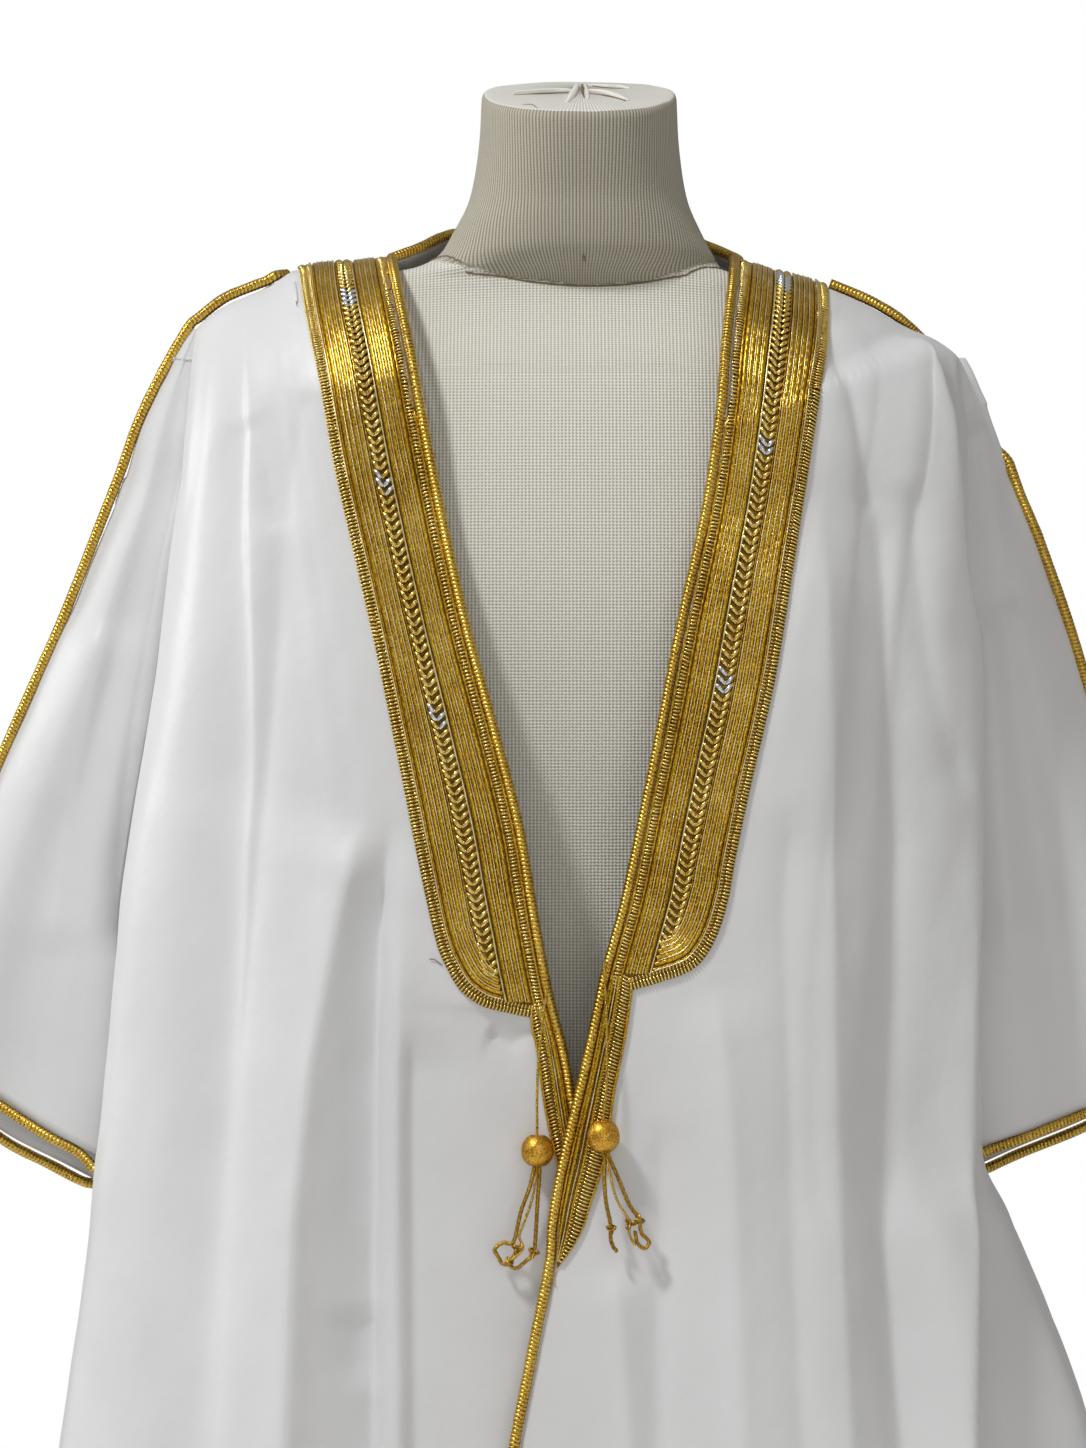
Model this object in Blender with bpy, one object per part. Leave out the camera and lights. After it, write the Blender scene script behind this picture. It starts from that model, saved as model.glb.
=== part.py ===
# Open abaya cloak with embroidered gold bands, on a limbless dress form with a pole and a round base.
# Metres, +Z up. The origin is on the floor under the base's centre, and the front faces -Y.
# Left and right are as seen from the front. A place across a side is measured outwards from the
# middle, so a front edge that has passed the middle has a negative place.

import math
from bisect import bisect_right

import bmesh
import bpy
from mathutils import Vector

MM = 0.001
WALL = 1.6 * MM            # cloth
SEAM = 0.4 * MM            # between sewn pieces
BAND_LIFT = 0.8 * MM       # band above its panel
BAND_WIDTH = 0.058         # least width of a front's strip of steady cloth under and below the band
BAND_STEPS = 3             # faces across that strip
BAND_SHARP = 30            # edges sharper than this, in degrees, stay crisp on the bands
CORD_RADIUS = 3.5 * MM     # rolled gold cord on every edge
CORD_CLEAR = 1.6 * MM      # between the top cord and the cloth below it
CORD_RING = 2
TIE_RADIUS = 1.0 * MM
EDGE_CORD_RISE = 0.5 * MM  # middle of the edge cord above the cloth's outer face
HEM_Z = 0.045
SHOULDER_Z = 1.45          # level that the panels' upper rows are counted from
SHOULDER_ROLL = 0.10       # height over which a panel rolls over the shoulder
ROLL_STEPS = 5
TOP_FADE_Z = 1.25          # below this the rows are level
LAP_GAP = 10 * MM          # the under front lies this much further in, and more at the hem
LAP_GAP_HEM = 26 * MM
LAP_TOP_Z = 1.065
LAP_FULL_Z = 0.985
LAP_REACH = 0.08
TOP_EDGE_Y = 1.6 * MM      # front and back stop this far from the middle of the shoulder
WRAP_SHARES = (0.3, 0.65, 1.0)
CORNER_DROP = 4 * MM       # rounding of a panel's top corner
SIDE_TOP_Z = 1.43
SIDE_BULGE = 3 * MM        # how far the side fold stands out beside the sleeve
WRAP_START = 10 * MM       # the side turn starts this far inside the side fold
SLEEVE_TOP_Z = {"left": 1.405, "right": 1.375}
SLEEVE_BULGE = 7 * MM
SLEEVE_STEPS = 11
SLEEVE_GAP = 0.6 * MM      # sleeve inside the side turn's end
SLEEVE_START = 1.0 * MM    # and beside it
SLEEVE_EDGE = 4.9 * MM     # the sleeve's fold lies this far inside the middle of its cord
CUFF_CLEAR = 1.2 * MM
NECK_CLEAR = 1.2 * MM
END_SHARE = 0.4            # a cord stops this share of a column short of the last seam
TOP_STEPS = 12
FOLD_STEPS = 14
NECK_REACH = 0.118
APEX_ROUND = 6 * MM
FORM_BOTTOM_Z = 0.80
NECK_TILT = 0.30
TILT_START_Z = 1.49
TILT_REACH = 0.07
TILT_MIDDLE_Y = 0.015
CAP_RINGS = ((0.0, 0.0), (-0.6 * MM, 1.0 * MM), (0.4 * MM, 3.0 * MM), (3.0 * MM, 4.2 * MM))
POLE_RADIUS = 12.5 * MM
BASE_RADIUS = 0.18
BASE_THICK = 14 * MM
BEAD_RADIUS = 9.5 * MM

COLOURS = {
    "satin": ((0.86, 0.86, 0.85, 1), 0.38, 0.0),
    "gold": ((0.56, 0.33, 0.04, 1), 0.36, 0.8),
    "linen": ((0.56, 0.53, 0.45, 1), 0.9, 0.0),
    "metal": ((0.55, 0.55, 0.56, 1), 0.35, 0.9),
}


def table(columns, *rows):
    names = columns.split()
    return {name: [row[place] for row in rows] for place, name in enumerate(names)}


# Front edge, outer side of the wide band and of the narrow band, and the side fold of each side.
EDGE = {
    "left": table(
        "z out",
        (0.045, -0.060), (0.60, -0.035), (0.80, -0.018), (0.90, -0.006), (0.966, 0.0037),
        (0.987, 0.0078), (1.017, 0.0156), (1.064, 0.0245), (1.118, 0.0334), (1.177, 0.0484),
        (1.243, 0.0663), (1.297, 0.0784), (1.358, 0.0906), (1.411, 0.1004), (1.473, 0.1144)),
    "right": table(
        "z out",
        (0.045, -0.095), (0.50, -0.068), (0.752, -0.0411), (0.798, -0.0304), (0.833, -0.0215),
        (0.863, -0.0156), (0.904, -0.0126), (0.946, -0.0067), (0.969, -0.0019), (1.005, 0.0053),
        (1.032, 0.0112), (1.076, 0.0232), (1.118, 0.0321), (1.177, 0.0441), (1.231, 0.0544),
        (1.291, 0.0683), (1.352, 0.0788), (1.414, 0.0848), (1.472, 0.0934)),
}
BAND_SIDE = {
    "left": table(
        "z out",
        (1.0061, 0.0304), (1.0100, 0.0480), (1.0138, 0.0602), (1.0227, 0.0721), (1.0376, 0.0810),
        (1.0495, 0.0858), (1.094, 0.0960), (1.154, 0.1080), (1.219, 0.1213), (1.279, 0.1351),
        (1.333, 0.1475), (1.385, 0.1571), (1.4345, 0.1672), (1.469, 0.1768)),
    "right": table(
        "z out",
        (1.0227, 0.0303), (1.0275, 0.0469), (1.0360, 0.0678), (1.0524, 0.0797), (1.0762, 0.0875),
        (1.100, 0.0917), (1.148, 0.1020), (1.207, 0.1158), (1.279, 0.1280), (1.3455, 0.1388),
        (1.414, 0.1504), (1.462, 0.1550)),
}
NARROW_SIDE = {
    "left": table(
        "z out",
        (0.862, 0.0015), (0.895, 0.0085), (0.925, 0.0160), (0.955, 0.0222), (0.985, 0.0262),
        (1.0061, 0.0300)),
    "right": table(
        "z out",
        (0.862, -0.0035), (0.875, 0.0000), (0.892, 0.0052), (0.922, 0.0141), (0.9634, 0.0201),
        (0.993, 0.0261), (1.0227, 0.0303)),
}
SIDE_FOLD = {
    "left": table(
        "z out",
        (0.045, 0.425), (0.40, 0.375), (0.725, 0.327), (0.776, 0.319), (0.833, 0.311),
        (0.892, 0.303), (0.949, 0.296), (1.017, 0.290), (1.091, 0.284), (1.165, 0.272),
        (1.233, 0.262), (1.282, 0.256), (1.332, 0.248), (1.381, 0.244), (1.433, 0.241)),
    "right": table(
        "z out",
        (0.045, 0.430), (0.40, 0.375), (0.745, 0.319), (0.811, 0.298), (0.872, 0.280),
        (0.905, 0.2575), (0.930, 0.2500), (1.045, 0.2435), (1.14, 0.2400), (1.258, 0.2385),
        (1.363, 0.2405), (1.410, 0.2400)),
}
# Middle of the cord along the top: over the shoulder, then down the fold of the sleeve.
SHOULDER = {
    "left": table(
        "out z",
        (0.000, 1.5080), (0.045, 1.5050), (0.0775, 1.4990), (0.0947, 1.4905), (0.1138, 1.4790),
        (0.150, 1.4690), (0.191, 1.4605), (0.220, 1.4510), (0.2445, 1.4330)),
    "right": table(
        "out z",
        (0.000, 1.5080), (0.045, 1.5040), (0.0720, 1.4970), (0.0860, 1.4870), (0.0970, 1.4775),
        (0.156, 1.4600), (0.183, 1.4490), (0.202, 1.4385), (0.236, 1.4195), (0.246, 1.4100)),
}
NECK_DEPTH = table(
    "out y",
    (0.000, 0.077), (0.045, 0.070), (0.0755, 0.047), (0.0900, 0.024), (0.1050, 0.004),
    (0.1138, 0.000))
SLEEVE_FOLD = {
    "left": table(
        "z out",
        (0.880, 0.4870), (0.9876, 0.4400), (1.158, 0.3650), (1.234, 0.3310), (1.257, 0.3210),
        (1.296, 0.3060), (1.336, 0.2900), (1.352, 0.2850), (1.388, 0.2700), (1.412, 0.2570),
        (1.433, 0.2445)),
    "right": table(
        "z out",
        (0.880, 0.4360), (0.969, 0.4040), (1.209, 0.3190), (1.234, 0.3120), (1.294, 0.2910),
        (1.333, 0.2770), (1.361, 0.2670), (1.373, 0.2630), (1.3965, 0.2525), (1.410, 0.2460)),
}
# Heights of the cuff edge, front and back layer, at the underarm and at the tip.
CUFF = {
    "left": {"front": (0.910, 0.994), "back": (0.899, 0.992)},
    "right": {"front": (0.928, 0.976), "back": (0.916, 0.974)},
}
# How far the cloth stands in front of and behind the middle, and how it meets the side line.
DEPTH = table(
    "z front back",
    (0.045, 0.205, 0.190), (0.30, 0.182, 0.170), (0.50, 0.168, 0.155), (0.75, 0.153, 0.142),
    (0.90, 0.147, 0.134), (1.05, 0.142, 0.128), (1.20, 0.136, 0.124), (1.33, 0.122, 0.114),
    (1.45, 0.112, 0.108))
SIDE_LINE = table(
    "z in y",
    (0.045, 0.0, 0.0004), (0.868, 0.0, 0.0004), (0.895, 0.0020, 0.015), (0.925, 0.0030, 0.020),
    (1.30, 0.0030, 0.018), (1.36, 0.0020, 0.011), (1.405, 0.0005, 0.0050), (1.422, 0.0, 0.0016),
    (1.46, 0.0, 0.0016))
SIDE_LINE_TOP_Z = 1.405    # where the sleeve starts in that table
# Fold lines of each panel from the band to the side fold: place between the two at chest, hip and
# hem, and how far the line stands out or lies in there.
FRONT_FOLDS = {
    "left": table(
        "chest hip hem out_chest out_hip out_hem",
        (0.00, 0.00, 0.00, 0.0, 0.0, -0.004),
        (0.05, 0.115, 0.13, 0.0, 0.005, 0.015),
        (0.10, 0.18, 0.21, 0.0, -0.003, -0.014),
        (0.15, 0.25, 0.30, 0.001, 0.005, 0.016),
        (0.20, 0.31, 0.38, 0.001, -0.005, -0.015),
        (0.27, 0.39, 0.46, 0.004, 0.006, 0.014),
        (0.34, 0.47, 0.53, -0.004, -0.006, -0.013),
        (0.46, 0.57, 0.59, 0.006, 0.007, 0.012),
        (0.58, 0.655, 0.66, 0.009, 0.011, 0.016),
        (0.64, 0.70, 0.73, -0.003, -0.005, -0.013),
        (0.79, 0.83, 0.83, 0.005, 0.006, 0.015),
        (0.92, 0.93, 0.93, 0.0, -0.003, -0.010),
        (1.00, 1.00, 1.00, 0.0, 0.0, 0.002)),
    "right": table(
        "chest hip hem out_chest out_hip out_hem",
        (0.00, 0.00, 0.00, 0.0, 0.0, 0.004),
        (0.08, 0.12, 0.12, 0.003, -0.004, -0.014),
        (0.16, 0.24, 0.22, -0.003, 0.005, 0.015),
        (0.24, 0.33, 0.30, 0.007, 0.002, -0.013),
        (0.31, 0.40, 0.39, 0.010, 0.011, 0.016),
        (0.37, 0.45, 0.47, -0.004, -0.006, -0.014),
        (0.48, 0.51, 0.54, 0.002, -0.002, 0.013),
        (0.61, 0.56, 0.61, -0.005, -0.006, -0.013),
        (0.68, 0.62, 0.68, 0.009, 0.009, 0.015),
        (0.77, 0.72, 0.76, 0.006, -0.004, -0.014),
        (0.86, 0.80, 0.84, -0.002, 0.007, 0.015),
        (0.93, 0.90, 0.92, -0.003, -0.006, -0.011),
        (1.00, 1.00, 1.00, 0.0, 0.0, 0.002)),
}
BACK_FOLDS = table(
    "chest hip hem out_chest out_hip out_hem",
    (0.00, 0.00, 0.00, -0.003, -0.006, -0.018),
    (0.12, 0.12, 0.12, 0.005, 0.010, 0.020),
    (0.24, 0.23, 0.24, -0.003, -0.007, -0.019),
    (0.36, 0.35, 0.36, 0.005, 0.011, 0.021),
    (0.49, 0.47, 0.49, -0.002, -0.007, -0.017),
    (0.61, 0.60, 0.61, 0.004, 0.009, 0.019),
    (0.74, 0.73, 0.74, -0.003, -0.006, -0.018),
    (0.88, 0.87, 0.87, 0.003, 0.008, 0.016),
    (1.00, 1.00, 1.00, 0.0, 0.0, 0.002))
CHEST_Z = 1.16
HIP_Z = 0.88
FOLD_START_Z = 1.40
SLEEVE_FOLDS = table("across out", (0.0, 0.0), (0.22, 0.003), (0.45, -0.003), (0.70, 0.004), (1.0, 0.0))

# Band relief from the front edge outwards: place across, height above the plain inside.
BAND_RELIEF = table(
    "across height",
    (0.00, 1.0), (0.02, 1.6), (0.10, 1.6), (0.12, 0.9), (0.155, 1.7), (0.19, 0.9), (0.225, 1.7),
    (0.26, 0.9), (0.295, 1.7), (0.33, 0.9), (0.365, 1.7), (0.40, 0.9), (0.42, 1.5), (0.475, 2.6),
    (0.56, 2.6), (0.615, 1.5), (0.635, 0.9), (0.675, 1.8), (0.715, 0.9), (0.755, 1.8),
    (0.795, 0.9), (0.82, 1.4), (0.98, 1.4), (1.00, 1.0))
NARROW_RELIEF = table(
    "across height",
    (0.00, 1.0), (0.05, 1.5), (0.22, 1.5), (0.27, 0.9), (0.36, 1.6), (0.45, 0.9), (0.54, 1.6),
    (0.63, 0.9), (0.69, 1.5), (0.95, 1.5), (1.00, 1.0))
PANEL_ROWS = {
    "left": (1.30, 1.24, 1.18, 1.12, 1.075, 1.0495, 1.0376, 1.0227, 1.0138, 1.0061, 0.985, 0.955,
             0.925, 0.895, 0.862, 0.81, 0.74, 0.64, 0.52, 0.38, 0.22, HEM_Z),
    "right": (1.30, 1.24, 1.18, 1.12, 1.0762, 1.0524, 1.0360, 1.0275, 1.0227, 0.993, 0.963,
              0.930, 0.905, 0.883, 0.862, 0.81, 0.74, 0.64, 0.52, 0.38, 0.22, HEM_Z),
}
BACK_ROWS = (1.29, 1.20, 1.10, 1.00, 0.94, 0.916, 0.895, 0.868, 0.80,
             0.71, 0.60, 0.46, 0.32, 0.18, HEM_Z)
BAND_BOTTOM_Z = {"left": 1.0061, "right": 1.0227}
NARROW_TIP_Z = 0.862

FORM_RINGS = table(
    "z left right front back",
    (FORM_BOTTOM_Z, 0.174, 0.174, 0.096, 0.100), (0.815, 0.185, 0.185, 0.106, 0.110),
    (0.88, 0.185, 0.185, 0.107, 0.112), (0.98, 0.173, 0.173, 0.102, 0.099),
    (1.08, 0.178, 0.177, 0.105, 0.096), (1.18, 0.195, 0.193, 0.115, 0.102),
    (1.26, 0.211, 0.207, 0.116, 0.102), (1.33, 0.221, 0.215, 0.109, 0.096),
    (1.384, 0.226, 0.217, 0.094, 0.086), (1.407, 0.226, 0.212, 0.082, 0.076),
    (1.425, 0.223, 0.201, 0.068, 0.067), (1.438, 0.216, 0.187, 0.060, 0.059),
    (1.448, 0.1990, 0.165, 0.056, 0.054), (1.4534, 0.1802, 0.149, 0.055, 0.052),
    (1.4584, 0.1585, 0.128, 0.055, 0.051), (1.4630, 0.132, 0.104, 0.058, 0.052),
    (1.4672, 0.105, 0.0905, 0.063, 0.053), (1.4750, 0.0885, 0.0845, 0.069, 0.054),
    (1.490, 0.0790, 0.0765, 0.071, 0.054), (1.510, 0.0680, 0.0670, 0.071, 0.050),
    (1.540, 0.0628, 0.0625, 0.074, 0.048), (1.5690, 0.0610, 0.0610, 0.077, 0.047))
FORM_POINTS = 28
FORM_SQUARE = 2.3
CLOTH_SQUARE = 2.6

# Route of each tie: place, height, and how far its middle stands off the front's face.
TIES = {
    "left": table(
        "x z clear",
        (-0.0205, 1.0235, 0.0052), (-0.0235, 0.9990, 0.0080), (-0.0257, 0.9760, 0.0098),
        (-0.0263, 0.9550, 0.0104), (-0.0262, 0.9392, 0.0106)),
    "right": table(
        "x z clear",
        (0.0135, 1.0395, 0.0047), (0.0150, 1.0050, 0.0088), (0.0152, 0.9800, 0.0112),
        (0.0145, 0.9620, 0.0122), (0.0130, 0.9480, 0.0124)),
}
# Strands: place round the bead's foot, end place from the bead's middle, and the knot's size.
STRANDS = {
    "left": table("turn x z knot", (6, -0.0225, -0.060, 2.4), (3, -0.0100, -0.066, 2.6),
                  (0, 0.0010, -0.063, 1.6)),
    "right": table("turn x z knot", (6, 0.0060, -0.066, 1.8), (3, 0.0150, -0.056, 2.4),
                   (0, 0.0245, -0.061, 2.2)),
}
STRAND_FOOT = 0.65         # the strands leave the bead below this share of its radius
TIE_POINTS = 18
STRAND_WIDTH = 1.5 * MM
STRAND_SWAY = 1.2 * MM
STRAND_FRONT = 1.5 * MM    # the strands' ends hang this far in front of the bead's middle
STRAND_FAN = 0.6 * MM
STRAND_SHARES = (0.12, 0.45, 0.74, 0.82, 0.92, 1.0)
SQUARE = ((-1, -1), (1, -1), (1, 1), (-1, 1))


def slopes(xs, ys):
    """Slope at each row, kept flat at a turning point so that the curve doesn't overshoot."""
    steps = [(ys[i + 1] - ys[i]) / (xs[i + 1] - xs[i]) for i in range(len(xs) - 1)]
    inner = [0.0 if a * b <= 0 else 2 * a * b / (a + b) for a, b in zip(steps, steps[1:])]
    return [steps[0]] + inner + [steps[-1]]


def read(rows, column, by, at):
    """Value of a column at a place along another one, on a smooth curve through the rows."""
    xs = rows[by]
    ys = rows[column]
    if at <= xs[0]:
        return ys[0]
    if at >= xs[-1]:
        return ys[-1]
    tangents = slopes(xs, ys)
    i = bisect_right(xs, at) - 1
    width = xs[i + 1] - xs[i]
    t = (at - xs[i]) / width
    keep = (1 + 2 * t) * (1 - t) ** 2
    return (keep * ys[i] + (1 - keep) * ys[i + 1]
            + width * t * (1 - t) * ((1 - t) * tangents[i] - t * tangents[i + 1]))


def mix(a, b, t):
    return a + (b - a) * t


def smooth(t):
    t = min(max(t, 0.0), 1.0)
    return t * t * (3 - 2 * t)


def sign_of(side):
    return -1 if side == "left" else 1


def material(name):
    found = bpy.data.materials.get(name)
    if found:
        return found
    colour, roughness, metallic = COLOURS[name]
    made = bpy.data.materials.new(name)
    made.use_nodes = True
    shader = made.node_tree.nodes["Principled BSDF"]
    shader.inputs["Base Color"].default_value = colour
    shader.inputs["Roughness"].default_value = roughness
    shader.inputs["Metallic"].default_value = metallic
    return made


def add_object(name, shape, finish, sharp=50):
    mesh = bpy.data.meshes.new(name)
    shape.to_mesh(mesh)
    shape.free()
    mesh.shade_smooth()
    mesh.set_sharp_from_angle(angle=math.radians(sharp))
    mesh.materials.append(material(finish))
    made = bpy.data.objects.new(name, mesh)
    bpy.context.collection.objects.link(made)
    return made


def grid_faces(shape, rows):
    """Faces between rows of vertices, each row as long as the next."""
    for upper, lower in zip(rows, rows[1:]):
        for i in range(len(upper) - 1):
            shape.faces.new((upper[i], lower[i], lower[i + 1], upper[i + 1]))


def cloth(name, grid, outwards):
    """A wall of cloth inside a grid of outer points. outwards is the direction its outside faces."""
    shape = bmesh.new()
    rows = [[shape.verts.new(point) for point in row] for row in grid]
    grid_faces(shape, rows)
    shape.normal_update()
    shape.faces.ensure_lookup_table()
    facing = sum((face.normal.dot(outwards) for face in shape.faces), 0.0)
    if facing < 0:
        bmesh.ops.reverse_faces(shape, faces=shape.faces[:])
    made = add_object(name, shape, "satin")
    wall = made.modifiers.new("Wall", "SOLIDIFY")
    wall.thickness = WALL
    wall.offset = -1
    wall.use_rim = True


def lofted(name, rings, finish, sharp=50):
    """A closed solid through rings of points, each ring as long as the next, with flat ends."""
    shape = bmesh.new()
    loops = [[shape.verts.new(point) for point in ring] for ring in rings]
    for ring, following in zip(loops, loops[1:]):
        for i in range(len(ring)):
            j = (i + 1) % len(ring)
            shape.faces.new((ring[i], ring[j], following[j], following[i]))
    shape.faces.new(loops[0])
    shape.faces.new(loops[-1])
    bmesh.ops.recalc_face_normals(shape, faces=shape.faces[:])
    add_object(name, shape, finish, sharp)


def cord(name, points, radius):
    """A round cord along points, with flat ends."""
    line = bpy.data.curves.new(name, "CURVE")
    line.dimensions = "3D"
    line.bevel_depth = radius
    line.bevel_resolution = CORD_RING
    line.use_fill_caps = True
    spline = line.splines.new("POLY")
    spline.points.add(len(points) - 1)
    for place, point in zip(spline.points, points):
        place.co = (*point, 1)
    line.materials.append(material("gold"))
    made = bpy.data.objects.new(name, line)
    bpy.context.collection.objects.link(made)


def shoulder_z(side, out):
    """Height of the cloth's top edge under the cord."""
    return read(SHOULDER[side], "z", "out", out) - CORD_RADIUS - CORD_CLEAR


def edge_out(side, z):
    """Place of a front panel's edge, just outside the edge cord."""
    return read(EDGE[side], "out", "z", z) + 2 * CORD_RADIUS + SEAM


def side_out(side, z):
    return read(SIDE_FOLD[side], "out", "z", z)


def depth_at(side, out, z, column):
    """Depth of the plain panel in front of or behind the middle."""
    width = side_out(side, z) * 1.03
    share = min(abs(out) / width, 0.999)
    return read(DEPTH, column, "z", z) * (1 - share ** CLOTH_SQUARE) ** (1 / CLOTH_SQUARE)


def roll(top_z, z):
    """Share of the full depth that the cloth has where it rolls over the shoulder."""
    fall = min(max((top_z - z) / SHOULDER_ROLL, 0.0), 1.0)
    return math.sqrt(1 - (1 - fall) ** 2)


def fold_line(folds, i, z):
    """Place and height of one fold line at a level."""
    level = table("z place out", (HEM_Z, folds["hem"][i], folds["out_hem"][i]),
                  (HIP_Z, folds["hip"][i], folds["out_hip"][i]),
                  (CHEST_Z, folds["chest"][i], folds["out_chest"][i]),
                  (FOLD_START_Z, folds["chest"][i], 0.0))
    return read(level, "place", "z", z), read(level, "out", "z", z)


def side_line(side, column, z):
    """Side line of a panel, counted from where that side's sleeve starts."""
    lift = SIDE_LINE_TOP_Z - SLEEVE_TOP_Z[side] if z > 1.15 else 0.0
    return read(SIDE_LINE, column, "z", z + lift)


def wrap(side, z, start_y, sign):
    """Points from the panel's outer part round the side fold to the side line."""
    width = side_out(side, z)
    end = Vector((width - side_line(side, "in", z), sign * side_line(side, "y", z)))
    start = Vector((width - WRAP_START, start_y))
    first = Vector((width - 0.002, mix(start.y, end.y, 0.12)))
    bulge = SIDE_BULGE * min(abs(end.y) / 0.010, 1.0)
    second = Vector((width + bulge, mix(start.y, end.y, 0.70)))
    for t in WRAP_SHARES:
        yield (start * (1 - t) ** 3 + first * (3 * t * (1 - t) ** 2)
               + second * (3 * t * t * (1 - t)) + end * t ** 3)


def wrap_points(side, level, start_y, sign):
    """Points of the side turn on one row, whose top corner at the shoulder is rounded off."""
    turn = list(wrap(side, SIDE_TOP_Z, start_y, sign))
    for number, share in enumerate(WRAP_SHARES):
        corner = shoulder_z(side, turn[number].x) - CORNER_DROP * share * share
        z = row_z(level, corner)
        point = list(wrap(side, z, start_y, sign))[number]
        yield Vector((sign_of(side) * point.x, point.y, z))


def level_rows(side_rows):
    rolled = [SHOULDER_Z - SHOULDER_ROLL * (1 - math.cos(math.pi / 2 * i / ROLL_STEPS))
              for i in range(ROLL_STEPS + 1)]
    return rolled + list(side_rows)


def row_z(level, top_z):
    """Height of a row at a column whose top edge is at top_z."""
    fade = smooth((level - TOP_FADE_Z) / (SHOULDER_Z - SHOULDER_ROLL - TOP_FADE_Z))
    return level + (top_z - SHOULDER_Z) * fade


def lapped(side, out, z):
    """Share by which a place of the under front lies behind the front that laps over it."""
    if side == "right":
        return 0.0
    passed = -read(EDGE["right"], "out", "z", z) + 2 * CORD_RADIUS
    down = smooth((LAP_TOP_Z - z) / (LAP_TOP_Z - LAP_FULL_Z))
    return down * (1 - smooth((out - passed - 0.012) / LAP_REACH))


def front_depth(side, out, z, relief):
    under = lapped(side, out, z)
    gap = mix(LAP_GAP_HEM, LAP_GAP, smooth((z - HEM_Z) / (LAP_FULL_Z - HEM_Z)))
    return depth_at(side, out, z, "front") + relief * (1 - under) - gap * under


def front_grid(side):
    """Outer points of a front panel, row by row, from its edge to the side line."""
    folds = FRONT_FOLDS[side]
    top_edge = edge_out(side, 1.47)
    top_band = BAND_SIDE[side]["out"][-1]
    top_side = side_out(side, SIDE_TOP_Z) - WRAP_START
    grid = []
    for level in level_rows(PANEL_ROWS[side]):
        row = []
        for i in range(BAND_STEPS + len(folds["hem"])):
            line = max(i - BAND_STEPS, 0)
            share = min(i / BAND_STEPS, 1.0)
            top_place = mix(top_edge, top_band, share)
            top_place = mix(top_place, top_side, folds["chest"][line])
            top_z = shoulder_z(side, top_place)
            z = row_z(level, top_z)
            place, relief = fold_line(folds, line, z)
            inner = edge_out(side, z)
            outer = max(read(BAND_SIDE[side], "out", "z", z), inner + BAND_WIDTH)
            out = mix(inner, outer, share)
            out = mix(out, side_out(side, z) - WRAP_START, place)
            y = -mix(TOP_EDGE_Y, front_depth(side, out, z, relief), roll(top_z, z))
            row.append(Vector((sign_of(side) * out, y, z)))
        row.extend(wrap_points(side, level, row[-1].y, -1))
        grid.append(row)
    return grid


def back_half(side):
    """Outer points of half the back, row by row, from the middle to the side line."""
    top_side = side_out(side, SIDE_TOP_Z) - WRAP_START
    grid = []
    for level in level_rows(BACK_ROWS):
        row = []
        for i, chest in enumerate(BACK_FOLDS["chest"]):
            top_place = top_side * chest
            top_z = shoulder_z(side, top_place)
            top_y = read(NECK_DEPTH, "y", "out", top_place)
            z = row_z(level, top_z)
            place, relief = fold_line(BACK_FOLDS, i, z)
            out = (side_out(side, z) - WRAP_START) * place
            y = mix(top_y + TOP_EDGE_Y, depth_at(side, out, z, "back") + relief, roll(top_z, z))
            row.append(Vector((sign_of(side) * out, y, z)))
        row.extend(wrap_points(side, level, row[-1].y, 1))
        grid.append(row)
    return grid


def back_grid():
    return [left[:0:-1] + right for left, right in zip(back_half("left"), back_half("right"))]


def sleeve_grid(side):
    """Outer points of a sleeve, row by row: front layer, top fold, back layer."""
    lines = SLEEVE_FOLDS["across"]
    grid = []
    for j in range(SLEEVE_STEPS + 1):
        down = j / SLEEVE_STEPS
        row = []
        for layer, sign in (("front", -1), ("back", 1)):
            part = []
            underarm, tip = CUFF[side][layer]
            for across in lines:
                z = mix(SLEEVE_TOP_Z[side], mix(underarm, tip, across), down)
                fold = read(SLEEVE_FOLD[side], "out", "z", z) - SLEEVE_EDGE
                start_y = side_line(side, "y", z) - SLEEVE_GAP
                start = side_out(side, z) - side_line(side, "in", z) + SLEEVE_START
                rounding = min(APEX_ROUND, start_y)
                out = mix(start, fold - rounding, across)
                bulge = SLEEVE_BULGE * math.sin(math.pi * across) * min(down * 2.5, 1)
                bulge += read(SLEEVE_FOLDS, "out", "across", across) * min(down * 2, 1)
                y = mix(start_y, rounding, across) + bulge
                part.append(Vector((sign_of(side) * out, sign * y, z)))
            row.append(part)
        tip_z = mix(SLEEVE_TOP_Z[side], mix(CUFF[side]["front"][1], CUFF[side]["back"][1], 0.5), down)
        fold = read(SLEEVE_FOLD[side], "out", "z", tip_z) - SLEEVE_EDGE
        apex = Vector((sign_of(side) * fold, 0.0, tip_z))
        grid.append(row[0] + [apex] + row[1][::-1])
    return grid


def on_row(row, x):
    """Point of a row of outer points at a place across, straight between its points."""
    for a, b in zip(row, row[1:]):
        low, high = sorted((a.x, b.x))
        if low <= x <= high and high - low > 1e-7:
            return a.lerp(b, (x - a.x) / (b.x - a.x))
    return row[0] if abs(row[0].x - x) < abs(row[-1].x - x) else row[-1]


def row_normals(grid):
    """Outward direction at each point of the grid, pointing away from the middle of the form."""
    normals = []
    for j, row in enumerate(grid):
        above = grid[max(j - 1, 0)]
        below = grid[min(j + 1, len(grid) - 1)]
        line = []
        for i, point in enumerate(row):
            along = row[min(i + 1, len(row) - 1)] - row[max(i - 1, 0)]
            down = below[i] - above[i]
            normal = along.cross(down).normalized()
            if normal.dot(Vector((point.x * 0.3, point.y, 0.02))) < 0:
                normal = -normal
            line.append(normal)
        normals.append(line)
    return normals


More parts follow.
